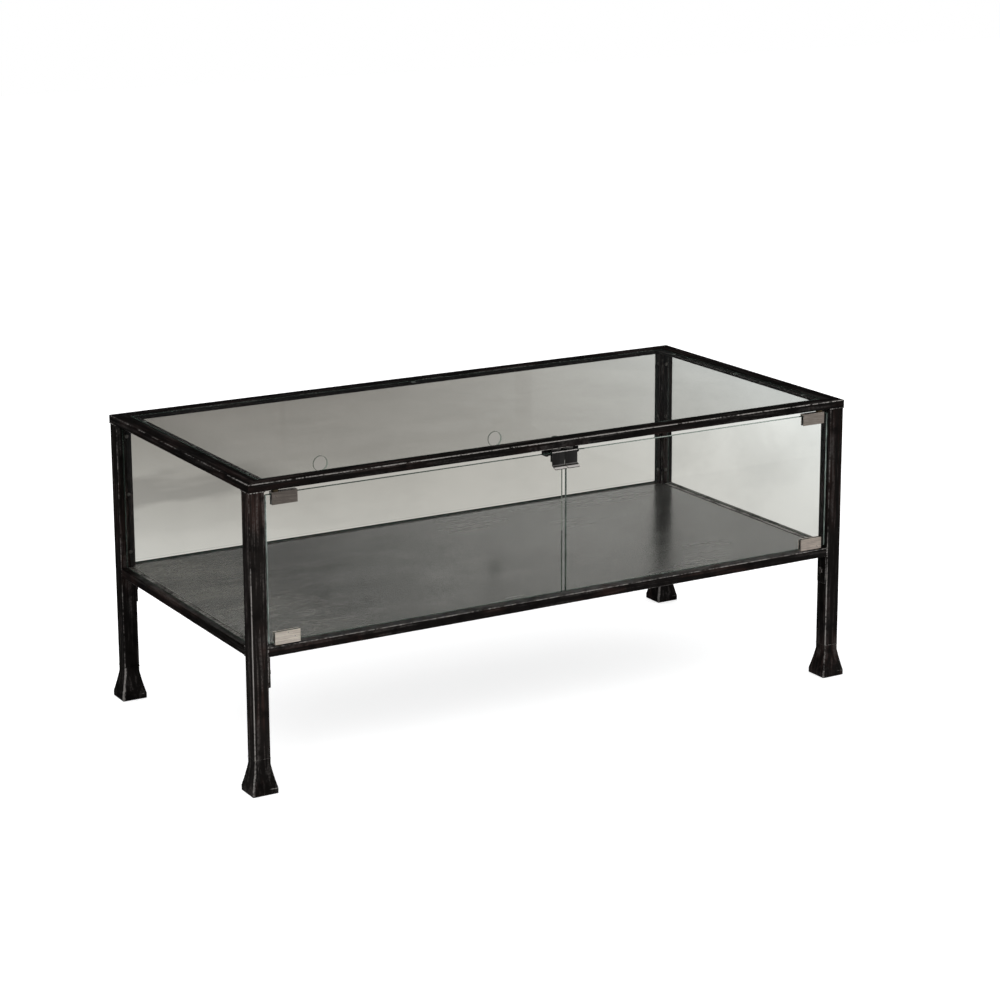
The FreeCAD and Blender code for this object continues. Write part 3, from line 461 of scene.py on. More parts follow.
def drawn_noise(tree, scale, detail, rough, turn=0.0):
    """Noise drawn out by a scale of its own along each axis."""
    return noise_at(tree, object_space(tree, scale, turn), 1.0, detail, rough)


def worn_value(tree):
    return node(tree, "ShaderNodeAttribute", attribute_name="arris")


def spread(tree, source, low, high, to_low=0.0, to_high=1.0, out=0, curve="SMOOTHSTEP"):
    """Takes low to high of a source to to_low to to_high, with soft ends."""
    limits = {"From Min": low, "From Max": high, "To Min": to_low, "To Max": to_high}
    r = node(tree, "ShaderNodeMapRange", interpolation_type=curve, clamp=True, **limits)
    join(tree, source, r, out, "Value")
    return r


def linear(tree, source, low, high, to_low=0.0, to_high=1.0, out=0):
    return spread(tree, source, low, high, to_low, to_high, out, "LINEAR")


def maths(tree, how, a, b, out_a=0, out_b=0):
    """Math node on two sources, each a node or a number."""
    m = node(tree, "ShaderNodeMath", operation=how)
    feed(tree, a, m, 0, out_a)
    feed(tree, b, m, 1, out_b)
    return m


def times(tree, a, b, out_a=0, out_b=0):
    return maths(tree, "MULTIPLY", a, b, out_a, out_b)


def plus(tree, a, b, out_a=0, out_b=0):
    return maths(tree, "ADD", a, b, out_a, out_b)


def blend_colour(tree, fac, a, b):
    m = node(tree, "ShaderNodeMix", data_type="RGBA")
    for value, into in ((fac, 0), (a, 6), (b, 7)):
        feed(tree, value, m, into, 2 if into else 0)
    return m


def blend_value(tree, fac, a, b):
    m = node(tree, "ShaderNodeMix", data_type="FLOAT")
    for value, into in ((fac, 0), (a, 2), (b, 3)):
        feed(tree, value, m, into)
    return m


def blend_shader(tree, fac, first, second, out=0):
    m = node(tree, "ShaderNodeMixShader")
    feed(tree, fac, m, 0, out)
    join(tree, first, m, 0, 1)
    join(tree, second, m, 0, 2)
    return m


def bump(tree, shader, height, strength, distance):
    b = node(tree, "ShaderNodeBump", Strength=strength, Distance=distance)
    join(tree, height, b, 0, "Height")
    join(tree, b, shader, "Normal", "Normal")


def tone(colour, share, lift=0.0, most=math.inf):
    """A colour times a share, with a little grey added."""
    return tuple(min(most, c * share + lift) for c in colour)


# ---------------------------------------------------------------- finishes


GRAIN = {X: (7.0, 175.0, 175.0), Y: (175.0, 7.0, 175.0), Z: (175.0, 175.0, 7.0)}
GLASS_IOR = 1.45


def blackened_steel(name, grain, lift=1.0, bloom=0.6, streaks=0.5, chip=0.6):
    """Waxed black steel with drawn streaks, a brown bloom and bare rubbed arrises.

    lift brightens the black, bloom and streaks are the strength of those marks,
    and chip is how broken the bare metal is.
    """
    finish = bpy.context.scene.table_finish
    m, tree, shader, _ = new_material(name)
    even = object_space(tree)
    streak = drawn_noise(tree, GRAIN[grain], 2.0, 0.55)
    fine = drawn_noise(tree, [g * 2.3 for g in GRAIN[grain]], 2.0, 0.6)
    speck = noise_at(tree, even, 330.0, 2.0, 0.6)
    blotch = noise_at(tree, even, 42.0, 4.0, 0.6)
    broad = noise_at(tree, even, 10.0, 3.0, 0.5)
    base = tone(finish.steel, lift)
    warm = times(tree, spread(tree, broad, 0.46, 0.60), spread(tree, streak, 0.40, 0.60))
    warm = linear(tree, warm, 0.0, 1.0, 0.0, bloom)
    colour = blend_colour(tree, warm, base, tone(finish.brown, lift))
    pale = plus(
        tree,
        spread(tree, streak, 0.555, 0.60, 0.0, streaks),
        spread(tree, fine, 0.58, 0.64, 0.0, 0.6 * streaks),
    )
    pale = times(tree, pale, spread(tree, speck, 0.36, 0.62, 0.25, 1.0))
    colour = blend_colour(tree, pale, colour, tone(base, 5.0, 0.024))
    dark = spread(tree, blotch, 0.34, 0.52, 0.75, 0.0)
    colour = blend_colour(tree, dark, colour, tone(base, 0.40))
    # bare metal: the stored arris value, broken up into chips and longer runs
    chips = noise_at(tree, even, 230.0, 2.0, 0.6)
    runs = noise_at(tree, even, 24.0, 2.0, 0.5)
    broken = plus(
        tree,
        linear(tree, chips, 0.38, 0.62, -0.34 * chip, 0.30 * chip),
        linear(tree, runs, 0.36, 0.62, -0.34 * chip, 0.34 * chip),
    )
    edge = times(tree, worn_value(tree), plus(tree, broken, 1.0), "Fac")
    bare = spread(tree, edge, 0.34, 0.92)
    colour = blend_colour(tree, bare, colour, tuple(finish.rubbed_steel))
    join(tree, colour, shader, 2, "Base Color")
    rough = blend_value(tree, bare, spread(tree, blotch, 0.3, 0.7, 0.34, 0.56), 0.36)
    join(tree, rough, shader, 0, "Roughness")
    join(tree, linear(tree, bare, 0.0, 1.0, 0.0, 0.6), shader, 0, "Metallic")
    shader.inputs["Specular IOR Level"].default_value = 0.05
    pits = noise_at(tree, even, 210.0, 3.0, 0.6)
    height = plus(tree, times(tree, streak, 0.4), times(tree, pits, 0.6))
    bump(tree, shader, height, 0.45, 0.0006)
    return m


def clear_glass(name, tint, haze=0.3, foot=None, shine=0.7):
    """Float glass with a faint smoky haze; its shadow is nearly clear.

    Below the level foot the tint is lighter, with a thin darker line above it.
    Shine is the share of the light that its near face mirrors.
    """
    m, tree, shader, output = new_material(name)
    drift = noise_at(tree, object_space(tree, (1.0, 1.0, 1.6)), 5.0, 4.0, 0.6)
    smoky = tone(tint, 1.0 - 0.10 * haze)
    colour = blend_colour(tree, spread(tree, drift, 0.36, 0.66), tint, smoky)
    if foot is not None:
        # below the foot the tint is lighter, and a thin band just above the foot is darker
        parts = split_space(tree)
        lighter = linear(tree, parts, foot - 0.0004, foot + 0.0004, 1.0, 0.0, "Z")
        line = times(
            tree,
            linear(tree, parts, foot, foot + 0.0003, out="Z"),
            linear(tree, parts, foot + 0.0012, foot + 0.0016, 1.0, 0.0, "Z"),
        )
        colour = blend_colour(tree, line, colour, tone(tint, 0.86))
        colour = blend_colour(tree, lighter, colour, tone(tint, 1.07))
    join(tree, colour, shader, 2, "Base Color")
    shader.inputs["Roughness"].default_value = 0.0
    shader.inputs["Transmission Weight"].default_value = 1.0
    shader.inputs["IOR"].default_value = GLASS_IOR
    # light leaves the sheet without a second, inner mirror image
    leave = node(tree, "ShaderNodeBsdfRefraction", IOR=GLASS_IOR, Roughness=0.0)
    half = node(tree, "ShaderNodeGamma", Gamma=0.5)
    join(tree, colour, half, 2, "Color")
    join(tree, half, leave, 0, "Color")
    side = node(tree, "ShaderNodeNewGeometry")
    leaving = maths(tree, "MAXIMUM", side, 1.0 - shine, "Backfacing")
    sheet = blend_shader(tree, leaving, shader, leave)
    clear = node(tree, "ShaderNodeBsdfTransparent", Color=(0.93, 0.94, 0.93, 1.0))
    path = node(tree, "ShaderNodeLightPath")
    look = blend_shader(tree, path, sheet, clear, "Is Shadow Ray")
    join(tree, look, output, 0, "Surface")
    return m


def green_edge(name, colour, share=0.5):
    """The ground edge of a sheet, where light has come the long way through.

    share is how much of it hides what lies behind.
    """
    m, tree, shader, output = new_material(name)
    bands = drawn_noise(tree, (40, 40, 40), 3.0, 0.6)
    pale = tone(colour, 2.2, 0.05, 1.0)
    colours = blend_colour(tree, spread(tree, bands, 0.40, 0.72), colour, pale)
    join(tree, colours, shader, 2, "Base Color")
    join(tree, spread(tree, bands, 0.3, 0.7, 0.10, 0.28), shader, 0, "Roughness")
    clear = node(tree, "ShaderNodeBsdfTransparent", Color=(0.60, 0.66, 0.62, 1.0))
    join(tree, blend_shader(tree, share, clear, shader), output, 0, "Surface")
    return m


def clouded_sheet(name, colour):
    """Dark semi-gloss sheet: wiped clouds, fine brushing, a dusty end and a rubbed rim."""
    m, tree, shader, _ = new_material(name)
    wipe = drawn_noise(tree, (2.0, 5.0, 3.0), 3.0, 0.55, 0.30)
    cloud = drawn_noise(tree, (5.0, 11.0, 9.0), 5.0, 0.60, -0.2)
    brush = drawn_noise(tree, (4.0, 150.0, 150.0), 3.0, 0.6)
    hair = drawn_noise(tree, (9.0, 420.0, 420.0), 2.0, 0.5, 0.03)
    swirl = drawn_noise(tree, (16.0, 34.0, 20.0), 5.0, 0.62, 0.5)
    spot = split_space(tree)
    wiped = spread(tree, wipe, 0.40, 0.64)
    mix = blend_colour(tree, wiped, tone(colour, 0.45), tone(colour, 2.2, 0.012))
    clouds = spread(tree, cloud, 0.50, 0.70, 0.0, 0.75)
    mix = blend_colour(tree, clouds, mix, tone(colour, 3.0, 0.016))
    # dust and fine curved scuffs lie at the left end
    end = spread(tree, spot, -0.30, -0.47, out="X")
    dust = times(tree, end, spread(tree, cloud, 0.36, 0.62, 0.40, 1.0))
    mix = blend_colour(tree, dust, mix, (0.100, 0.096, 0.084))
    ridge = maths(tree, "ABSOLUTE", maths(tree, "SUBTRACT", swirl, 0.5), 0.0)
    end = spread(tree, spot, -0.22, -0.40, 0.12, 1.0, "X")
    scuff = times(tree, spread(tree, ridge, 0.0, 0.022, 0.55, 0.0), end)
    mix = blend_colour(tree, scuff, mix, (0.19, 0.182, 0.165))
    lines = plus(
        tree,
        spread(tree, brush, 0.48, 0.68, 0.0, 0.38),
        spread(tree, hair, 0.54, 0.68, 0.0, 0.20),
    )
    mix = blend_colour(tree, lines, mix, tone(colour, 2.6, 0.022))
    broken = spread(tree, cloud, 0.3, 0.6, 0.5, 1.1)
    bare = spread(tree, times(tree, worn_value(tree), broken, "Fac"), 0.35, 0.9)
    mix = blend_colour(tree, bare, mix, (0.5, 0.49, 0.46))
    join(tree, mix, shader, 2, "Base Color")
    gloss = plus(
        tree,
        spread(tree, wipe, 0.38, 0.66, 0.20, 0.26),
        spread(tree, brush, 0.36, 0.66, -0.015, 0.02),
    )
    join(tree, gloss, shader, 0, "Roughness")
    shader.inputs["Specular IOR Level"].default_value = 0.5
    return m


def satin_metal(name, colour, rough, grain, metallic=1.0, edge=None):
    """Brushed plated metal with brighter edges."""
    m, tree, shader, _ = new_material(name)
    brush = drawn_noise(tree, [g * 4 for g in GRAIN[grain]], 3.0, 0.6)
    cloud = noise_at(tree, object_space(tree), 85.0, 3.0, 0.6)
    low, high = tone(colour, 0.72), tone(colour, 1.25, most=1.0)
    mix = blend_colour(tree, spread(tree, brush, 0.3, 0.7), low, high)
    mix = blend_colour(tree, spread(tree, cloud, 0.35, 0.7, 0.0, 0.4), mix, low)
    # the stored arris value: bright worn edges, and on the strike clips a painted highlight
    bare = spread(tree, worn_value(tree), 0.2, 0.9, 0.0, 0.9, "Fac")
    mix = blend_colour(tree, bare, mix, edge or tone(colour, 1.7, most=1.0))
    join(tree, mix, shader, 2, "Base Color")
    dull = spread(tree, cloud, 0.3, 0.7, rough - 0.05, rough + 0.10)
    join(tree, dull, shader, 0, "Roughness")
    shader.inputs["Metallic"].default_value = metallic
    bump(tree, shader, brush, 0.10, 0.0002)
    return m


def moulded(name, colour, rough, transmission=0.0, gloss=0.5):
    """Moulded plastic or rubber with a fine skin."""
    m, tree, shader, _ = new_material(name)
    skin = noise_at(tree, object_space(tree), 1400.0, 2.0, 0.5)
    cloud = noise_at(tree, object_space(tree), 70.0, 2.0, 0.5)
    low, high = tone(colour, 0.8), tone(colour, 1.25, most=1.0)
    mix = blend_colour(tree, spread(tree, cloud, 0.3, 0.7), low, high)
    join(tree, mix, shader, 2, "Base Color")
    dull = spread(tree, cloud, 0.3, 0.7, rough - 0.06, rough + 0.08)
    join(tree, dull, shader, 0, "Roughness")
    shader.inputs["Transmission Weight"].default_value = transmission
    shader.inputs["Specular IOR Level"].default_value = gloss
    bump(tree, shader, skin, 0.15, 0.0001)
    return m


made_materials = {}


def material(key, maker, *values, **options):
    """Makes each material once."""
    if key not in made_materials:
        made_materials[key] = maker(key, *values, **options)
    return made_materials[key]


def steel(axis, **options):
    """Blackened steel with its grain along an axis."""
    marks = "".join("_" + k + str(v).replace(".", "") for k, v in sorted(options.items()))
    return material("blackened_steel_" + "xyz"[axis] + marks, blackened_steel, axis, **options)


# painted light: each clamp's nickel is scaled by its own share, the top clamps darker as
# painted shade and the bottom ones lighter as a painted reflection
CLAMP_PAINTED_LIGHT = {
    "left_top": 0.43,
    "right_top": 0.85,
    "left_bottom": 2.15,
    "right_bottom": 1.38,
}


def nickel(corner):
    """Satin nickel of one clamp, darkened by painted shade on the top clamps and lightened by a
    painted reflection on the bottom ones.
    """
    colour = tone(bpy.context.scene.table_finish.nickel, CLAMP_PAINTED_LIGHT[corner])
    return material(corner + "_nickel", satin_metal, colour, 0.32, X, 0.7)


def fastener():
    return material("fastener_steel", satin_metal, (0.09, 0.085, 0.078), 0.36, Z)


def shelf_look():
    shelf = tuple(bpy.context.scene.table_finish.shelf)
    return material("clouded_sheet", clouded_sheet, shelf)


def edge_look():
    green = tuple(bpy.context.scene.table_finish.glass_edge)
    return material("glass_edge", green_edge, green)


# ---------------------------------------------------------------- top frame


BEAD_SUNK = 0.0004  # how far the beads on the legs lie below the legs' tops
MITRE_SUNK = 0.0008  # how far the beads on the mitres lie inside the corners


def rub_front_top(u, w, s):
    if u > 0:  # the arrises beside the glass
        return 0.25 if w > 0 else 0.0
    if w < 0:  # rubbed over the catch, where hands open the doors
        return 0.12 + 0.45 * ramp(abs(s + 0.01), 0.09, 0.03)
    # broken into dashes towards the left corner
    dashes = 0.5 + 0.5 * math.sin(s * 430.0) * math.sin(s * 173.0)
    return (0.95 if s < 0.2 else 0.75) - 0.5 * (ramp(s, -0.24, -0.32) * dashes)


def rub_back_top(u, w, s):
    return 0.34 if w > 0 else 0.3


def rub_left_top(u, w, s):
    if u > 0:
        return 0.15
    return 0.42 + 0.53 * ramp(s, -0.17, -0.24) if w > 0 else 0.36


def rub_right_top(u, w, s):
    return (0.6 if w > 0 else 0.35) if u > 0 else 0.3


class TopFrame(bpy.types.Operator):
    """Builds the four mitred rails round the glass top, with the weld beads over the legs"""

    bl_idname = "display_table.top_frame"
    bl_label = "Top Frame"

    def execute(self, context):
        low, high = corners([*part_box("top_front_rail"), *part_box("top_back_rail")])
        edge = {-1: low, 1: high}

        def mitre(sx, sy, along):
            n = Vector((sx, -sy, 0)) if along == X else Vector((-sx, sy, 0))
            return Vector((edge[sx].x, edge[sy].y, 0)), n.normalized()

        plan = (
            ("front", X, rub_front_top, (-1, -1), (1, -1), 1.3),
            ("back", X, rub_back_top, (-1, 1), (1, 1), 5.9),
            ("left", Y, rub_left_top, (-1, -1), (-1, 1), 9.2),
            ("right", Y, rub_right_top, (1, -1), (1, 1), 13.7),
        )
        for place, axis, rub, first, second, seed in plan:
            source = f"top_{place}_rail"
            mitres = [mitre(*first, axis), mitre(*second, axis)]
            bm = worn_bar(*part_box(source), axis, rub, seed, mitres)
            look = [steel(axis, chip=1.0)]
            finish_piece(bm, f"{place}_top_rail", CASE, look, [source])
        size = context.scene.table_shape.bead_size
        rail_low, rail_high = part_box("top_front_rail")
        for sx, sy, side, end in CORNERS:
            a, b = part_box(f"leg_{end}_{side}")
            outer_x, inner_x = (a.x, b.x) if sx < 0 else (b.x, a.x)
            outer_y, inner_y = (a.y, b.y) if sy < 0 else (b.y, a.y)
            bm = bmesh.new()
            rows = seam_rows(outer_x, inner_x, outer_y, inner_y, b.z - BEAD_SUNK)
            for i, (p, q, flat) in enumerate(rows):
                bead_row(bm, p, q, size, flat, 11 * i + 3 * sx + sy)
            # the mitre itself, run down the outer corner of the rails
            x, y = edge[sx].x - sx * MITRE_SUNK, edge[sy].y - sy * MITRE_SUNK
            p, q = (x, y, rail_low.z + 0.001), (x, y, rail_high.z - 0.001)
            bead_row(bm, p, q, size * 0.45, (1, 1, 0), 91 + sx + 2 * sy, 0.75)
            name = f"leg_top_weld_{end[0]}{side[0]}"
            finish_piece(bm, name, CASE, [steel(Z)], smooth=60)
        return {"FINISHED"}


# ---------------------------------------------------------------- legs and feet


def rub_leg(sx, sy):
    """The rubbing of the leg at one corner, its outer front arris brightest low down."""

    def rub(u, w, z):
        if sx < 0 and sy < 0:
            if u < 0 and w < 0:
                return 0.42 + 0.46 * ramp(z, 0.38, 0.26)
            return 0.5 if w < 0 else 0.3
        if sx < 0:
            return 0.44
        if u < 0 and w < 0:
            return 0.46 + 0.34 * ramp(z, 0.25, 0.15)
        return 0.35 if u == sx or w == sy else 0.3

    return rub


class Legs(bpy.types.Operator):
    """Builds the four square legs with their rubbed arrises"""

    bl_idname = "display_table.legs"
    bl_label = "Legs"

    def execute(self, context):
        for sx, sy, side, end in CORNERS:
            source = f"leg_{end}_{side}"
            bm = worn_bar(*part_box(source), Z, rub_leg(sx, sy), 21.0 + 5 * sx + 2 * sy)
            look = steel(Z, lift=2.1 if sx < 0 and sy < 0 else 1.1, streaks=0.7)
            finish_piece(bm, f"{end}_{side}_leg", CASE, [look], [source])
        return {"FINISHED"}


FOOT_BAND = 0.0084  # height of the square band on the floor
FOOT_LIP = 0.0016  # last stretch of the band under its upper edge
FOOT_NECK = 0.009  # straight neck under the leg
FOOT_RINGS = 14  # rings of the flare
FOOT_HOLLOW = 0.2  # how much the flare is drawn in
FOOT_WAVE = 0.0003  # depth of the filed hollows


def foot_levels(base, top, half, half_leg):
    """Height and half width of each ring of a foot, from the floor up."""
    slab, neck = base + FOOT_BAND, top - FOOT_NECK
    levels = [(base, half), (slab - FOOT_LIP, half), (slab, half)]
    for i in range(1, FOOT_RINGS + 1):
        t = i / FOOT_RINGS
        hollow = t * (1.0 + FOOT_HOLLOW * (1.0 - t))
        levels.append((slab + (neck - slab) * t, half + (half_leg - half) * hollow))
    return levels + [(top, half_leg)]


def grow_foot(mid, levels):
    """A foot drawn up ring by ring from its sole, with its corners and rim rounded."""
    base, size = levels[0]
    bm = bmesh.new()
    bmesh.ops.create_grid(bm, x_segments=1, y_segments=1, size=size)
    bmesh.ops.translate(bm, vec=(mid.x, mid.y, base), verts=bm.verts[:])
    face = bm.faces[:][0]
    for z, width in levels[1:]:
        face = bmesh.ops.extrude_discrete_faces(bm, faces=[face])["faces"][0]
        for v in face.verts:
            v.co.z = z
            v.co.x = mid.x + (v.co.x - mid.x) * width / size
            v.co.y = mid.y + (v.co.y - mid.y) * width / size
        size = width
    # the extrusion leaves the first sheet open underneath
    tidy(bm)
    open_edges = [e for e in bm.edges if e.is_boundary]
    if open_edges:
        bmesh.ops.holes_fill(bm, edges=open_edges, sides=0)
    tidy(bm)
    round_edges(bm, [e for e in sharp(bm, 50) if rise(e) > 1e-5], 0.0010)
    rim = [e for e in sharp(bm, 30) if all(abs(v.co.z - base) < TOUCH for v in e.verts)]
    round_edges(bm, rim, 0.0009)
    level = [e for e in bm.edges if e.calc_length() > 0.015 and rise(e) < 1e-4]
    bmesh.ops.subdivide_edges(bm, edges=level, cuts=5, use_grid_fill=True)
    return bm


def rub_foot(bm, sx, sy, mid, levels):
    """Rubs a foot's corners and the upper edge of its band, and files its faces."""
    slab = levels[2][0]
    layer = arris_layer(bm.verts)
    for v in bm.verts:
        z, width = v.co.z, levels[0][1]
        for (z0, w0), (z1, w1) in zip(levels, levels[1:]):
            if z0 - TOUCH <= z <= z1 + TOUCH:
                width = w0 + (w1 - w0) * (z - z0) / max(1e-9, z1 - z0)
        dx = width - abs(v.co.x - mid.x)
        dy = width - abs(v.co.y - mid.y)
        bright = 0.45
        if v.co.x < mid.x and v.co.y < mid.y:
            bright = 0.58 if sy < 0 else 0.80
        band = 0.0
        if abs(z - slab) < 1e-4 and dy < 0.002:  # rubbed towards the right
            band = 0.62 * ramp(v.co.x - mid.x, -0.004, 0.012)
        near = 1.0 - ramp(max(dx, dy), 0.0009, 0.0018)
        v[layer] = max(near * bright, band)
        v.co.x -= math.copysign(wave(v.co, FOOT_WAVE, 3 * sx + sy), v.co.x - mid.x)
        v.co.y -= math.copysign(wave(v.co, FOOT_WAVE, 7 * sx + sy), v.co.y - mid.y)


class Feet(bpy.types.Operator):
    """Builds the four flared feet, forged out from the leg to a square base"""

    bl_idname = "display_table.feet"
    bl_label = "Feet"

    def execute(self, context):
        low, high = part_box("leg_front_left")
        top, half_leg = low.z, (high.x - low.x) / 2
        for sx, sy, side, end in CORNERS:
            source = f"foot_{end}_{side}"
            a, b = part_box(source)
            mid = (a + b) / 2
            levels = foot_levels(a.z, top, (b.x - a.x) / 2, half_leg)
            bm = grow_foot(mid, levels)
            rub_foot(bm, sx, sy, mid, levels)
            look = [steel(Z, lift=1.3, streaks=0.6)]
            finish_piece(bm, f"{end}_{side}_foot", CASE, look, [source], 40)
        # the seam where each foot's neck is welded to its leg
        bm = bmesh.new()
        size = context.scene.table_shape.bead_size * 0.42
        for sx, sy, side, end in CORNERS:
            a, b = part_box(f"leg_{end}_{side}")
            shown = 0.55 if sy < 0 else 0.15
            for i, (p, q, flat) in enumerate(seam_rows(a.x, b.x, a.y, b.y, top)):
                amount = min(shown, 0.40) if i == 1 else shown  # duller on the left
                bead_row(bm, p, q, size, flat, 31 + 5 * sx + sy, amount)
        finish_piece(bm, "leg_foot_welds", CASE, [steel(Z, lift=1.3)], smooth=60)
        return {"FINISHED"}


# ---------------------------------------------------------------- lower frame and shelf


WELD_INSET = 0.0006  # how far a bead is sunk into the rail beside it
WIPED_GAP = 0.006  # the wiped strip of the back rail ends this far before the pane


def rub_front_lower(u, w, s):
    if u > 0:
        return 0.2
    return (0.64 if s > 0.2 else 0.56) if w > 0 else 0.5


def rub_lower(u, w, s):
    return 0.4 if u < 0 and w < 0 else 0.3


def rub_strip(bm, low, high, side):
    """Rubs bare the strip of a side rail's top that lies inside its pane."""
    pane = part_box(side + "_pane")
    inner = pane[1].x if side == "left" else pane[0].x
    slice_at(bm, X, inner)
    slice_at(bm, X, low.x + 0.0022)
    layer = arris_layer(bm.verts)
    for v in bm.verts:
        if v.co.z < high.z - 0.0012:
            continue
        if side == "right" and v.co.x > low.x + 0.0020:
            v[layer] = max(v[layer], 0.66)
        elif side == "left" and abs(v.co.x) < abs(inner) + 1e-5:
            v[layer] = max(v[layer], 0.5)


def wipe_strip(bm, high):
    """Gives the strip of the back rail's top next to the shelf the second material."""
    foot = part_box("back_pane")[0].y - WIPED_GAP
    slice_at(bm, Y, foot)
    bm.normal_update()
    for f in bm.faces:
        at = f.calc_center_median()
        if abs(f.normal.z) > 0.9 and at.z > high.z - 0.0010 and at.y < foot:
            f.material_index = 1


def end_welds(bm, axis, ends, faces, low, high, size, seed):
    """Beads up the outer face and under the bottom of each end of two rails.

    ends are the places of the rails' ends along the axis, faces the outer and
    inner place of each rail across it, low and high their levels.
    """

    def at(along, across, z):
        return (along, across, z) if axis == X else (across, along, z)

    for i, place in enumerate(ends):
        place += math.copysign(WELD_INSET, -place)
        for j, (outer, inner) in enumerate(faces):
            face = outer + math.copysign(WELD_INSET, inner - outer)
            own = seed + i + 2 * j
            bead_row(bm, at(place, face, low), at(place, face, high), size, at(0, 1, 0), own)
            under = low + WELD_INSET
            p, q = at(place, outer, under), at(place, inner, under)
            bead_row(bm, p, q, size, (0, 0, 1), own + 10)


class LowerFrame(bpy.types.Operator):
    """Builds the four lower rails between the legs and the welds at their ends"""

    bl_idname = "display_table.lower_frame"
    bl_label = "Lower Frame"

    def execute(self, context):
        for place, axis, rub, seed in (
            ("front", X, rub_front_lower, 31.0),
            ("back", X, rub_lower, 37.0),
            ("left", Y, rub_lower, 41.0),
            ("right", Y, rub_lower, 43.0),
        ):
            source = f"lower_{place}_rail"
            low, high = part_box(source)
            bm = worn_bar(low, high, axis, rub, seed)
            looks = [steel(axis, lift=1.2, bloom=0.8)]
            if axis == Y:
                rub_strip(bm, low, high, place)
            elif place == "back":
                wipe_strip(bm, high)
                looks.append(shelf_look())
            finish_piece(bm, f"{place}_lower_rail", CASE, looks, [source])
        bm = bmesh.new()
        size = context.scene.table_shape.bead_size * 0.8
        fa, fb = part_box("lower_front_rail")
        ba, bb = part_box("lower_back_rail")
        la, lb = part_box("lower_left_rail")
        ra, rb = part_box("lower_right_rail")
        rails = ((fa.y, fb.y), (bb.y, ba.y))
        end_welds(bm, X, (fa.x, fb.x), rails, fa.z, fb.z, size, 50)
        rails = ((la.x, lb.x), (rb.x, ra.x))
        end_welds(bm, Y, (la.y, lb.y), rails, la.z, lb.z, size, 70)
        finish_piece(bm, "lower_frame_welds", CASE, [steel(Z)], smooth=60)
        return {"FINISHED"}


class Shelf(bpy.types.Operator):
    """Builds the clouded shelf sheet with its rubbed rim, and dresses the ledges under it"""

    bl_idname = "display_table.shelf"
    bl_label = "Shelf"

    def execute(self, context):
        look = shelf_look()
        worn_copy("shelf_panel", "shelf_sheet", CASE, "shelf_sheet", look, 0.0003, 0.9, 2, 12.0)
        inner = (CASE, "inner_steel")
        worn_copy("shelf_ledges", "shelf_bearers", *inner, steel(X), 0.0004, 0.4)
        for _, side in SIDES:
            source = "glass_ledge_" + side
            worn_copy(source, side + "_glass_ledge", *inner, steel(Y), 0.0004, 0.4)
        return {"FINISHED"}


class TabsAndStops(bpy.types.Operator):
    """Builds the leg tabs, the glazing stops and the tabs under the glass top"""

    bl_idname = "display_table.tabs_and_stops"
    bl_label = "Tabs and Stops"

    def execute(self, context):
        look = steel(Z)
        for _, end in ENDS:
            for _, side in SIDES:
                source, name = f"leg_tab_{end}_{side}", f"{end}_{side}_leg_tab"
                worn_copy(source, name, CASE, "lower_frame_steel", look, 0.0006, 0.55)
                source, name = f"side_stop_{end}_{side}", f"{end}_{side}_side_stop"
                worn_copy(source, name, CASE, "stop_steel", look, 0.0005, 0.45)
        for _, side in SIDES:
            source, name = f"back_stop_{side}", f"{side}_back_stop"
            worn_copy(source, name, CASE, "stop_steel", look, 0.0005, 0.45)
        worn_copy("glass_tabs", "top_glass_tabs", CASE, "inner_steel", steel(Y), 0.0004, 0.5)
        return {"FINISHED"}


# ---------------------------------------------------------------- screws


def pan_head(radius, height):
    """A slotted pan head standing on z = 0: domed disc, rounded rim, cut slot."""
    bm = bmesh.new()
    bmesh.ops.create_circle(bm, cap_ends=True, segments=20, radius=radius)
    face = bm.faces[:][0]
    for share, climb in ((1.0, 0.50), (0.93, 0.24), (0.74, 0.16), (0.42, 0.10)):
        grown = bmesh.ops.extrude_face_region(bm, geom=[face])["geom"]
        top = [g for g in grown if isinstance(g, bmesh.types.BMVert)]
        face = [g for g in grown if isinstance(g, bmesh.types.BMFace)][0]
        for v in top:
            flat = Vector((v.co.x, v.co.y, 0)).normalized() * radius * share
            v.co = Vector((flat.x, flat.y, v.co.z + height * climb))
    tidy(bm)
    half = radius * 0.17  # half the slot's width
    for sign in (-1, 1):
        slice_at(bm, X, sign * half)
    inside = []
    for f in bm.faces:
        at = f.calc_center_median()
        if abs(at.x) < half * 0.98 and f.normal.z > 0.3 and at.z > height * 0.5:
            inside.append(f)
    sunk = bmesh.ops.extrude_face_region(bm, geom=inside)["geom"]
    bmesh.ops.delete(bm, geom=[f for f in inside if f.is_valid], context="FACES_ONLY")
    for v in sunk:
        if isinstance(v, bmesh.types.BMVert):
            v.co.z = height * 0.42
    tidy(bm)
    return bm


def set_in(bm, part, at, outward, turn):
    """Adds a part made on z = 0 to a mesh, standing on a point and facing outward."""
    way = outward.to_track_quat("Z", "Y").to_matrix().to_4x4()
    part.transform(Matrix.Translation(at) @ way @ Matrix.Rotation(turn, 4, "Z"))
    store = bpy.data.meshes.new("part")
    part.to_mesh(store)
    part.free()
    bm.from_mesh(store)
    bpy.data.meshes.remove(store)


def islands(source):
    """Boxes of the separate solids in a CAD node, from left to right."""
    bm = copy_of(source)
    left = set(bm.verts)
    found = []
    while left:
        start = left.pop()
        group, queue = {start}, [start]
        while queue:
            v = queue.pop()
            for e in v.link_edges:
                o = e.other_vert(v)
                if o not in group:
                    group.add(o)
                    queue.append(o)
        left -= group
        found.append(corners([v.co.copy() for v in group]))
    bm.free()
    return sorted(found, key=lambda box: tuple(box[0]))


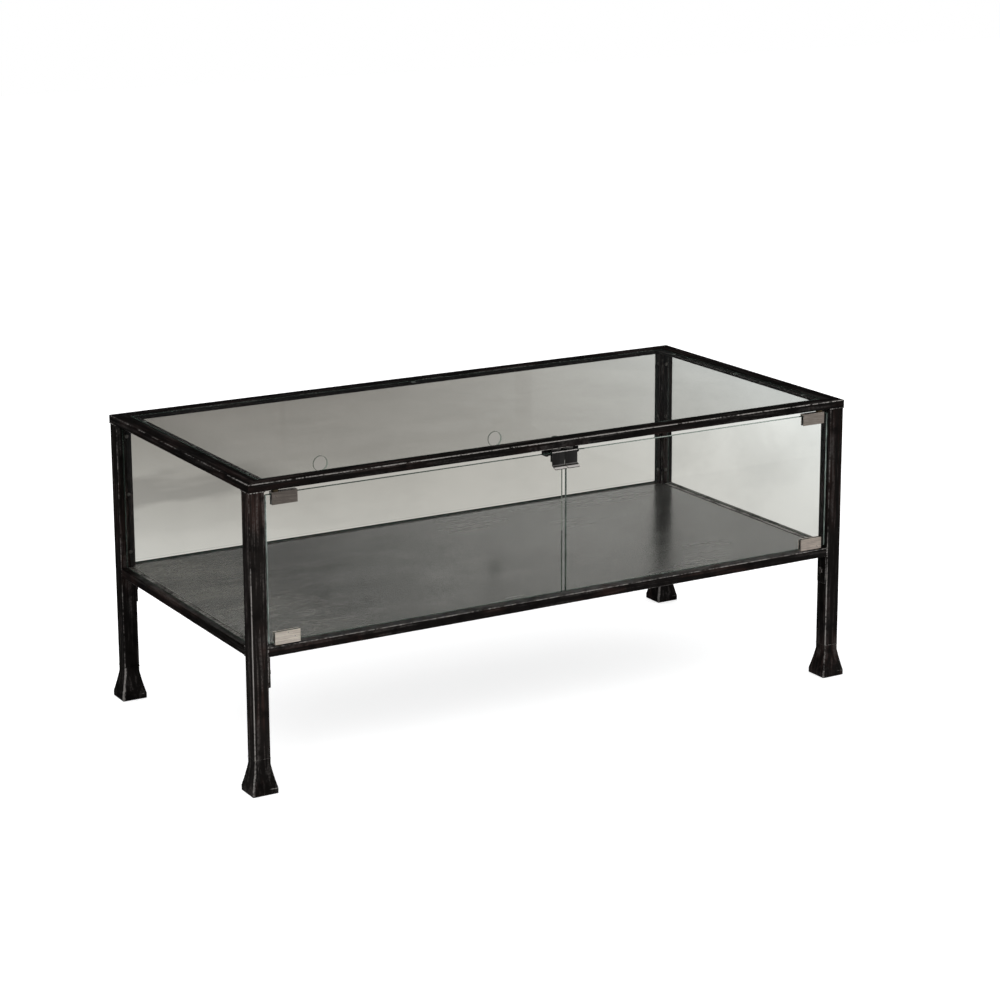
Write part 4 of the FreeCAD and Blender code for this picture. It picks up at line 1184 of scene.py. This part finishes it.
class Screws(bpy.types.Operator):
    """Builds the slotted screws of the glazing stops and the hexagon bolts of the leg tabs"""

    bl_idname = "display_table.screws"
    bl_label = "Screws and Bolts"

    def execute(self, context):
        bm = bmesh.new()
        rnd = random.Random(5)
        for low, high in islands("stop_screws"):
            # each head stands on the side of its stop that faces into the case
            at = (low + high) / 2
            axis = Y if high.y - low.y > high.x - low.x else X
            first = at[axis] < 0
            if axis == Y:
                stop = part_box("side_stop_front_left" if first else "side_stop_back_left")
            else:
                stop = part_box("back_stop_left" if first else "back_stop_right")
            face = stop[1][axis] if first else stop[0][axis]
            head = abs(high[axis] - face) if first else abs(face - low[axis])
            out = Vector()
            at[axis], out[axis] = face, 1.0 if first else -1.0
            set_in(bm, pan_head(0.003, max(0.0012, head)), at, out, rnd.uniform(0, 3.1))
        look, nodes = [fastener()], ["stop_screws"]
        finish_piece(bm, "stop_screw_heads", CASE, look, nodes, 35)
        look = steel(Z, lift=2.2)
        worn_copy("tab_bolts", "leg_tab_bolts", CASE, "fastener_steel", look, 0.0005, 0.6)
        return {"FINISHED"}


# ---------------------------------------------------------------- glass


def dress_rim(bm, thin):
    """Gives every face but the two flats of a sheet the second material."""
    for f in bm.faces:
        f.material_index = 0 if abs(f.normal[thin]) > 0.95 else 1


def glass_sheet(name, body, materials, source, pale_side=0):
    """A sheet with a ground bevel round it; its rim faces take the second material.

    pale_side (-1 or 1) gives the rim at that end of X the third one.
    """
    low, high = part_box(source)
    bevel = bpy.context.scene.table_shape.glass_edge
    thin = min(range(3), key=lambda a: high[a] - low[a])
    bm = bmesh.new()
    block(bm, low, high)
    round_edges(bm, [e for e in bm.edges if runs_along(e, thin)], bevel * 2.2, 3)
    round_edges(bm, [e for e in sharp(bm, 60) if not runs_along(e, thin)], bevel, 1)
    dress_rim(bm, thin)
    for f in bm.faces:
        if f.material_index and f.normal.x * pale_side > 0.3:
            f.material_index = 2
    finish_piece(bm, name, body, materials, [source], 25)


class FixedGlass(bpy.types.Operator):
    """Builds the glass top, the two side panes and the back pane with its two cable holes"""

    bl_idname = "display_table.fixed_glass"
    bl_label = "Fixed Glass"

    def execute(self, context):
        finish = context.scene.table_finish
        tint, edge = tuple(finish.glass), edge_look()
        top = material("top_glass", clear_glass, tint, haze=0.6, shine=1.0)
        glass_sheet("glass_top", CASE, [top, edge], "top_glass")
        right = material("pane_glass", clear_glass, tint, haze=0.7)
        left = material("left_pane_glass", clear_glass, tone(tint, 1.05, most=1.0), haze=0.3)
        for side, pane in (("left", left), ("right", right)):
            glass_sheet(side + "_side_glass", CASE, [pane, edge], side + "_pane")
        bm = copy_of("back_pane")
        round_edges(bm, sharp(bm, 60), context.scene.table_shape.glass_edge * 0.8, 1)
        dress_rim(bm, Y)
        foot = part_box("back_pane")[0].z + 0.005
        lighter = tone(tint, 1.04, most=1.0)
        back = material("back_pane_glass", clear_glass, lighter, haze=0.4, foot=foot)
        hole = material("hole_edge", green_edge, tone(finish.glass_edge, 2.0), share=0.22)
        finish_piece(bm, "back_glass", CASE, [back, hole], ["back_pane"], 25)
        look = material("clear_bumper", moulded, (0.30, 0.32, 0.30), 0.25, 0.6)
        bumpers = ("glass_bumpers", "glass_top_bumpers", CASE, "clear_bumper")
        worn_copy(*bumpers, look, 0.0002, 0.0)
        return {"FINISHED"}


class Doors(bpy.types.Operator):
    """Builds the two door sheets"""

    bl_idname = "display_table.doors"
    bl_label = "Doors"

    def execute(self, context):
        tint = tone(context.scene.table_finish.glass, 1.01, most=1.0)
        sheet = material("door_glass", clear_glass, tint, haze=0.8, shine=0.3)
        pale = material("pale_glass_edge", green_edge, (0.36, 0.44, 0.40), share=0.8)
        looks = [sheet, edge_look(), pale]
        for sign, side in SIDES:
            body, source = side + "_door", side + "_door_glass"
            glass_sheet(side + "_door_sheet", body, looks, source, sign)
        return {"FINISHED"}


# ---------------------------------------------------------------- hinges and catch


class Hinges(bpy.types.Operator):
    """Builds the satin nickel hinge clamps with their liners, grub screws, pins and bushings"""

    bl_idname = "display_table.hinges"
    bl_label = "Hinges"

    def execute(self, context):
        liner = material("liner_rubber", moulded, (0.02, 0.02, 0.02), 0.6)
        brass = material("bushing_brass", satin_metal, (0.11, 0.085, 0.05), 0.40, Z)
        for _, side in SIDES:
            body = side + "_door"
            for end in ("top", "bottom"):
                source, name = f"{side}_{end}_hinge_clamp", f"{side}_{end}_clamp"
                look = nickel(f"{side}_{end}")
                worn_copy(source, name, body, "hinge_nickel", look, 0.0007, 0.55, 3)
            for source, name, slot, look, bevel, amount in (
                ("_hinge_liners", "_clamp_liners", "liner_rubber", liner, 0.0002, 0.0),
                ("_hinge_screws", "_clamp_screws", "fastener_steel", fastener(), 0.0002, 0.4),
                ("_hinge_pins", "_pivot_pins", "fastener_steel", fastener(), 0.0003, 0.4),
            ):
                worn_copy(side + source, side + name, body, slot, look, bevel, amount)
        bushings = ("hinge_bushings", "pivot_bushings", CASE, "bushing_brass")
        worn_copy(*bushings, brass, 0.0002, 0.4)
        return {"FINISHED"}


CLIP_BEND = 0.0056  # height of a strike clip's lip, up to its bend
CLIP_TIP = 0.0040  # depth of the lip's tip, whose upward faces get a painted highlight
CLIP_DARK = 0.0066  # the lip lies in shadow up to this depth
CLIP_CREST = 0.0013  # rubbed strip along the top of a clip


def strike_clip(side):
    """A strike clip over its door's top edge, its pull lip given a painted highlight on the
    tip's upper faces and painted shade under and behind it.
    """
    source = side + "_strike_clip"
    low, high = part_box(source)
    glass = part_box(side + "_door_glass")[0].y
    bend, tip, crest = low.z + CLIP_BEND, low.y + CLIP_TIP, high.z - CLIP_CREST
    bm = copy_of(source)
    slice_at(bm, Y, tip)
    slice_at(bm, Y, low.y + CLIP_DARK)
    slice_at(bm, Z, crest)
    layer = arris_layer(bm.faces)
    for f in bm.faces:
        at = f.calc_center_median()
        # painted light: the lip's upward faces at the tip get a painted highlight and its other
        # tip faces painted shade; the upward faces just behind the tip get painted shadow up to
        # CLIP_DARK
        if at.y < tip and at.z < bend:
            f[layer] = 0.95 if f.normal.z > 0.3 else 0.05
        elif at.y < glass - 0.002 and at.z < bend and f.normal.z > 0.3:
            f[layer] = 0.0 if at.y < low.y + CLIP_DARK else 0.40
        elif at.z > crest and at.y < glass:
            f[layer] = 0.60
    # painted light: the rounded edges on the tip's upper side get a painted highlight and those
    # under it painted shade; the rounded edges along the clip's top are rubbed bright
    for f in round_edges(bm, sharp(bm, 40), 0.0004):
        at = f.calc_center_median()
        on_tip = at.y < tip
        if at.z > high.z - 0.0015 or (on_tip and at.z > low.z + 0.0008):
            f[layer] = 0.85
        else:
            f[layer] = 0.05 if on_tip else max(0.30, f[layer])
    black = (0.011, 0.010, 0.009)
    look = material("strike_steel", satin_metal, black, 0.36, Z, 0.4, (0.95, 0.90, 0.86))
    finish_piece(bm, side + "_door_strike", side + "_door", [look], [source])


class Catch(bpy.types.Operator):
    """Builds the touch catch under the front rail and the strike clips on the doors"""

    bl_idname = "display_table.catch"
    bl_label = "Catch"

    def execute(self, context):
        black = material("catch_plastic", moulded, (0.004, 0.0038, 0.0035), 0.45, gloss=0.12)
        magnet = material("magnet_steel", satin_metal, (0.16, 0.155, 0.15), 0.28, X)
        screw = steel(Z, lift=1.6)
        for source, name, slot, look, bevel, amount, segments in (
            ("body", "", "catch_plastic", black, 0.0006, 0.0, 3),
            ("magnets", "_magnets", "magnet_steel", magnet, 0.0003, 0.4, 2),
            ("screws", "_screws", "screw_black", screw, 0.0003, 0.4, 2),
        ):
            source, name = "catch_" + source, "touch_catch" + name
            worn_copy(source, name, CASE, slot, look, bevel, amount, segments)
        for _, side in SIDES:
            strike_clip(side)
        return {"FINISHED"}


class HiddenParts(bpy.types.Operator):
    """Gives a finish to the parts inside the tubes and under the feet"""

    bl_idname = "display_table.hidden_parts"
    bl_label = "Spigots, Nuts and Glides"

    def execute(self, context):
        glide = material("glide_plastic", moulded, (0.03, 0.03, 0.03), 0.5)
        for name, look in (
            ("frame_spigots", steel(Z)),
            ("rivet_nuts", fastener()),
            ("foot_glides", glide),
        ):
            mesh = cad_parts[name].data
            mesh.materials.clear()
            mesh.materials.append(look)
        return {"FINISHED"}


# ---------------------------------------------------------------- stage


SENSOR = 36.0  # width of the camera's sensor in millimetres
FOCUS = 2.610778  # focal length in widths of the sensor
DAYLIGHT = (0.98, 0.99, 1.0, 1.0)
WARM_VEIL = (1.0, 0.985, 0.945, 1.0)
WHITE = (1.0, 1.0, 1.0, 1.0)

# level of the backdrop seen through the glass: its value at the middle of the
# floor, its slope along x and y, how fast it climbs to the sides, and its range
FALL_LEVEL = 0.826
FALL = (-0.265, -0.212, 0.0)
FALL_CLIMB = 0.317
FALL_RANGE = (0.27, 1.20)


def add_object(name, data):
    made = bpy.data.objects.new(name, data)
    bpy.context.scene.collection.objects.link(made)
    return made


def place_camera(stage):
    level = math.cos(stage.elevation)
    back = Vector(
        (
            math.sin(stage.azimuth) * level,
            -math.cos(stage.azimuth) * level,
            math.sin(stage.elevation),
        )
    )
    data = bpy.data.cameras.new("studio_camera")
    data.lens = FOCUS * SENSOR
    data.sensor_width = SENSOR
    data.shift_x = -0.040
    data.shift_y = -0.100
    data.clip_end = 60.0
    camera = add_object("studio_camera", data)
    camera.location = Vector(stage.target) + back * stage.distance
    camera.rotation_euler = (-back).to_track_quat("-Z", "Y").to_euler()
    bpy.context.scene.camera = camera


def backdrop_glow(tree, parts, spot):
    """What glass shows of the floor: a backdrop that falls off to the left and back."""
    slope = node(tree, "ShaderNodeVectorMath", operation="DOT_PRODUCT")
    slope.inputs[1].default_value = FALL
    join(tree, spot, slope, "Object")
    climb = times(tree, times(tree, parts, parts, "X", "X"), FALL_CLIMB)
    slope = plus(tree, slope, climb, "Value")
    least, most = FALL_RANGE
    near = linear(tree, slope, least - FALL_LEVEL, most - FALL_LEVEL)
    colour = blend_colour(tree, near, (1.0, 0.934, 0.845), (1.0, 1.049, 1.052))
    level = linear(tree, near, 0.0, 1.0, least, most)
    # a soft wavy band of shade lies across its left end
    roll = noise_at(tree, object_space(tree, (1.0, 1.6, 1.0)), 3.4, 3.0, 0.5)
    away = plus(tree, parts, linear(tree, roll, 0.3, 0.7, -0.10, 0.10), "Y")
    shade = spread(tree, away, 1.00, 1.26, 1.0, 0.91)
    for start, stop, change in ((1.30, 1.40, -0.24), (1.50, 1.60, 0.18)):
        shade = plus(tree, shade, spread(tree, away, start, stop, 0.0, change))
    beside = spread(tree, parts, 0.24, 0.38, 1.0, 0.0, "X")
    shade = blend_value(tree, beside, 1.0, shade)
    glow = node(tree, "ShaderNodeEmission")
    join(tree, colour, glow, 2, "Color")
    join(tree, times(tree, level, shade), glow, 0, "Strength")
    return glow


def floor_look():
    """Pale paint that the camera sees lit up to the backdrop's level."""
    m, tree, shader, output = new_material("studio_floor")
    tree.nodes.remove(shader)
    path = node(tree, "ShaderNodeLightPath")
    spot = node(tree, "ShaderNodeTexCoord")
    parts = node(tree, "ShaderNodeSeparateXYZ")
    join(tree, spot, parts, "Object")
    grain = spread(tree, noise_at(tree, object_space(tree), 3.0, 2.0, 0.5), 0.3, 0.7)
    paint = blend_colour(tree, grain, (0.80, 0.80, 0.80), (0.81, 0.81, 0.81))
    diffuse = node(tree, "ShaderNodeBsdfDiffuse")
    join(tree, paint, diffuse, 2, "Color")
    lit = node(tree, "ShaderNodeAddShader")
    join(tree, diffuse, lit, 0, 0)
    join(tree, node(tree, "ShaderNodeEmission", Strength=0.70), lit, 0, 1)
    look = blend_shader(tree, path, diffuse, lit, "Is Camera Ray")
    behind = backdrop_glow(tree, parts, spot)
    look = blend_shader(tree, path, look, behind, "Is Transmission Ray")
    # in reflections it is dim, and dimmer still behind the table
    dusk = node(tree, "ShaderNodeEmission")
    join(tree, spread(tree, parts, -0.35, 0.0, 0.45, 0.05, "Y"), dusk, 0, "Strength")
    # a ray bent by glass counts as glossy too, so it is taken off
    mirrored = maths(tree, "SUBTRACT", path, path, "Is Glossy Ray", "Is Transmission Ray")
    join(tree, blend_shader(tree, mirrored, look, dusk), output, 0, "Surface")
    return m


def lay_floor():
    bm = bmesh.new()
    bmesh.ops.create_grid(bm, x_segments=8, y_segments=8, size=9.0)
    mesh = bpy.data.meshes.new("studio_floor")
    bm.to_mesh(mesh)
    bm.free()
    floor = add_object("studio_floor", mesh)
    mesh.materials.append(floor_look())


def studio_world(stage):
    """Soft light from all round; camera, gloss and glass each see their own backdrop."""
    world = bpy.data.worlds.new("studio")
    world.use_nodes = True
    tree = world.node_tree
    tree.nodes.clear()
    output = node(tree, "ShaderNodeOutputWorld")
    look = node(tree, "ShaderNodeBackground", Strength=stage.studio, Color=DAYLIGHT)
    seen = node(tree, "ShaderNodeBackground", Strength=stage.backdrop, Color=WHITE)
    parts = node(tree, "ShaderNodeSeparateXYZ")
    join(tree, node(tree, "ShaderNodeTexCoord"), parts, "Generated")
    # what gloss shows: the pale backdrop on the right, a dim studio on the left
    dim = node(tree, "ShaderNodeBackground", Color=WHITE)
    ahead = spread(tree, parts, -0.45, 0.05, 1.0, 0.0, "Y")
    side = spread(tree, parts, 0.36, 0.76, 0.04, stage.backdrop, "X")
    join(tree, plus(tree, times(tree, side, ahead), 0.02), dim, 0, "Strength")
    veiled = node(tree, "ShaderNodeBackground", Color=WARM_VEIL)
    join(tree, spread(tree, parts, 0.39, 0.51, 0.24, 0.90, "X"), veiled, 0, "Strength")
    path = node(tree, "ShaderNodeLightPath")
    for ray, background in (("Glossy", dim), ("Transmission", veiled), ("Camera", seen)):
        look = blend_shader(tree, path, look, background, f"Is {ray} Ray")
    join(tree, look, output, 0, "Surface")
    return world


def hang_lamps():
    for name, place, size, watts, mirrored in (
        ("key_softbox", (-1.9, -2.6, 2.7), 2.2, 46.0, True),
        ("fill_softbox", (2.8, -1.8, 1.9), 2.4, 16.0, True),
        ("rim_softbox", (0.4, 2.8, 2.6), 2.0, 16.0, False),
    ):
        lamp = bpy.data.lights.new(name, "AREA")
        lamp.energy = watts
        lamp.size = size
        lamp.shape = "SQUARE"
        holder = add_object(name, lamp)
        holder.location = place
        holder.visible_glossy = mirrored
        aim = Vector((0, 0, 0.25)) - Vector(place)
        holder.rotation_euler = aim.to_track_quat("-Z", "Y").to_euler()


class Stage(bpy.types.Operator):
    """Builds the pale floor, the soft studio light and the camera"""

    bl_idname = "display_table.stage"
    bl_label = "Stage"

    def execute(self, context):
        scene = context.scene
        place_camera(scene.table_stage)
        lay_floor()
        scene.world = studio_world(scene.table_stage)
        hang_lamps()
        scene.view_settings.view_transform = "Standard"
        return {"FINISHED"}


# ---------------------------------------------------------------- panel

PIECES = (
    TopFrame,
    Legs,
    Feet,
    LowerFrame,
    Shelf,
    TabsAndStops,
    Screws,
    FixedGlass,
    Doors,
    Hinges,
    Catch,
    HiddenParts,
    Stage,
)


class TablePanel(bpy.types.Panel):
    """Lists the builders and the settings of the display table"""

    bl_idname = "VIEW3D_PT_display_table"
    bl_label = "Display Table"
    bl_space_type = "VIEW_3D"
    bl_region_type = "UI"
    bl_category = "Display Table"

    def draw(self, context):
        column = self.layout.column(align=True)
        for piece in PIECES:
            column.operator(piece.bl_idname)
        scene = context.scene
        for group in (scene.table_shape, scene.table_finish, scene.table_stage):
            box = self.layout.box()
            for key in group.bl_rna.properties.keys():
                if key not in ("rna_type", "name"):
                    box.prop(group, key)


GROUPS = {"table_shape": TableShape, "table_finish": TableFinish, "table_stage": TableStage}
CLASSES = (*GROUPS.values(), *PIECES, TablePanel)


def register():
    for c in CLASSES:
        bpy.utils.register_class(c)
    for name, group in GROUPS.items():
        setattr(bpy.types.Scene, name, PointerProperty(type=group))


def unregister():
    for name in GROUPS:
        delattr(bpy.types.Scene, name)
    for c in reversed(CLASSES):
        bpy.utils.unregister_class(c)


def main():
    register()
    bpy.ops.display_table.top_frame()
    bpy.ops.display_table.legs()
    bpy.ops.display_table.feet()
    bpy.ops.display_table.lower_frame()
    bpy.ops.display_table.shelf()
    bpy.ops.display_table.tabs_and_stops()
    bpy.ops.display_table.screws()
    bpy.ops.display_table.fixed_glass()
    bpy.ops.display_table.doors()
    bpy.ops.display_table.hinges()
    bpy.ops.display_table.catch()
    bpy.ops.display_table.hidden_parts()
    bpy.ops.display_table.stage()


if __name__ == "__main__":
    main()
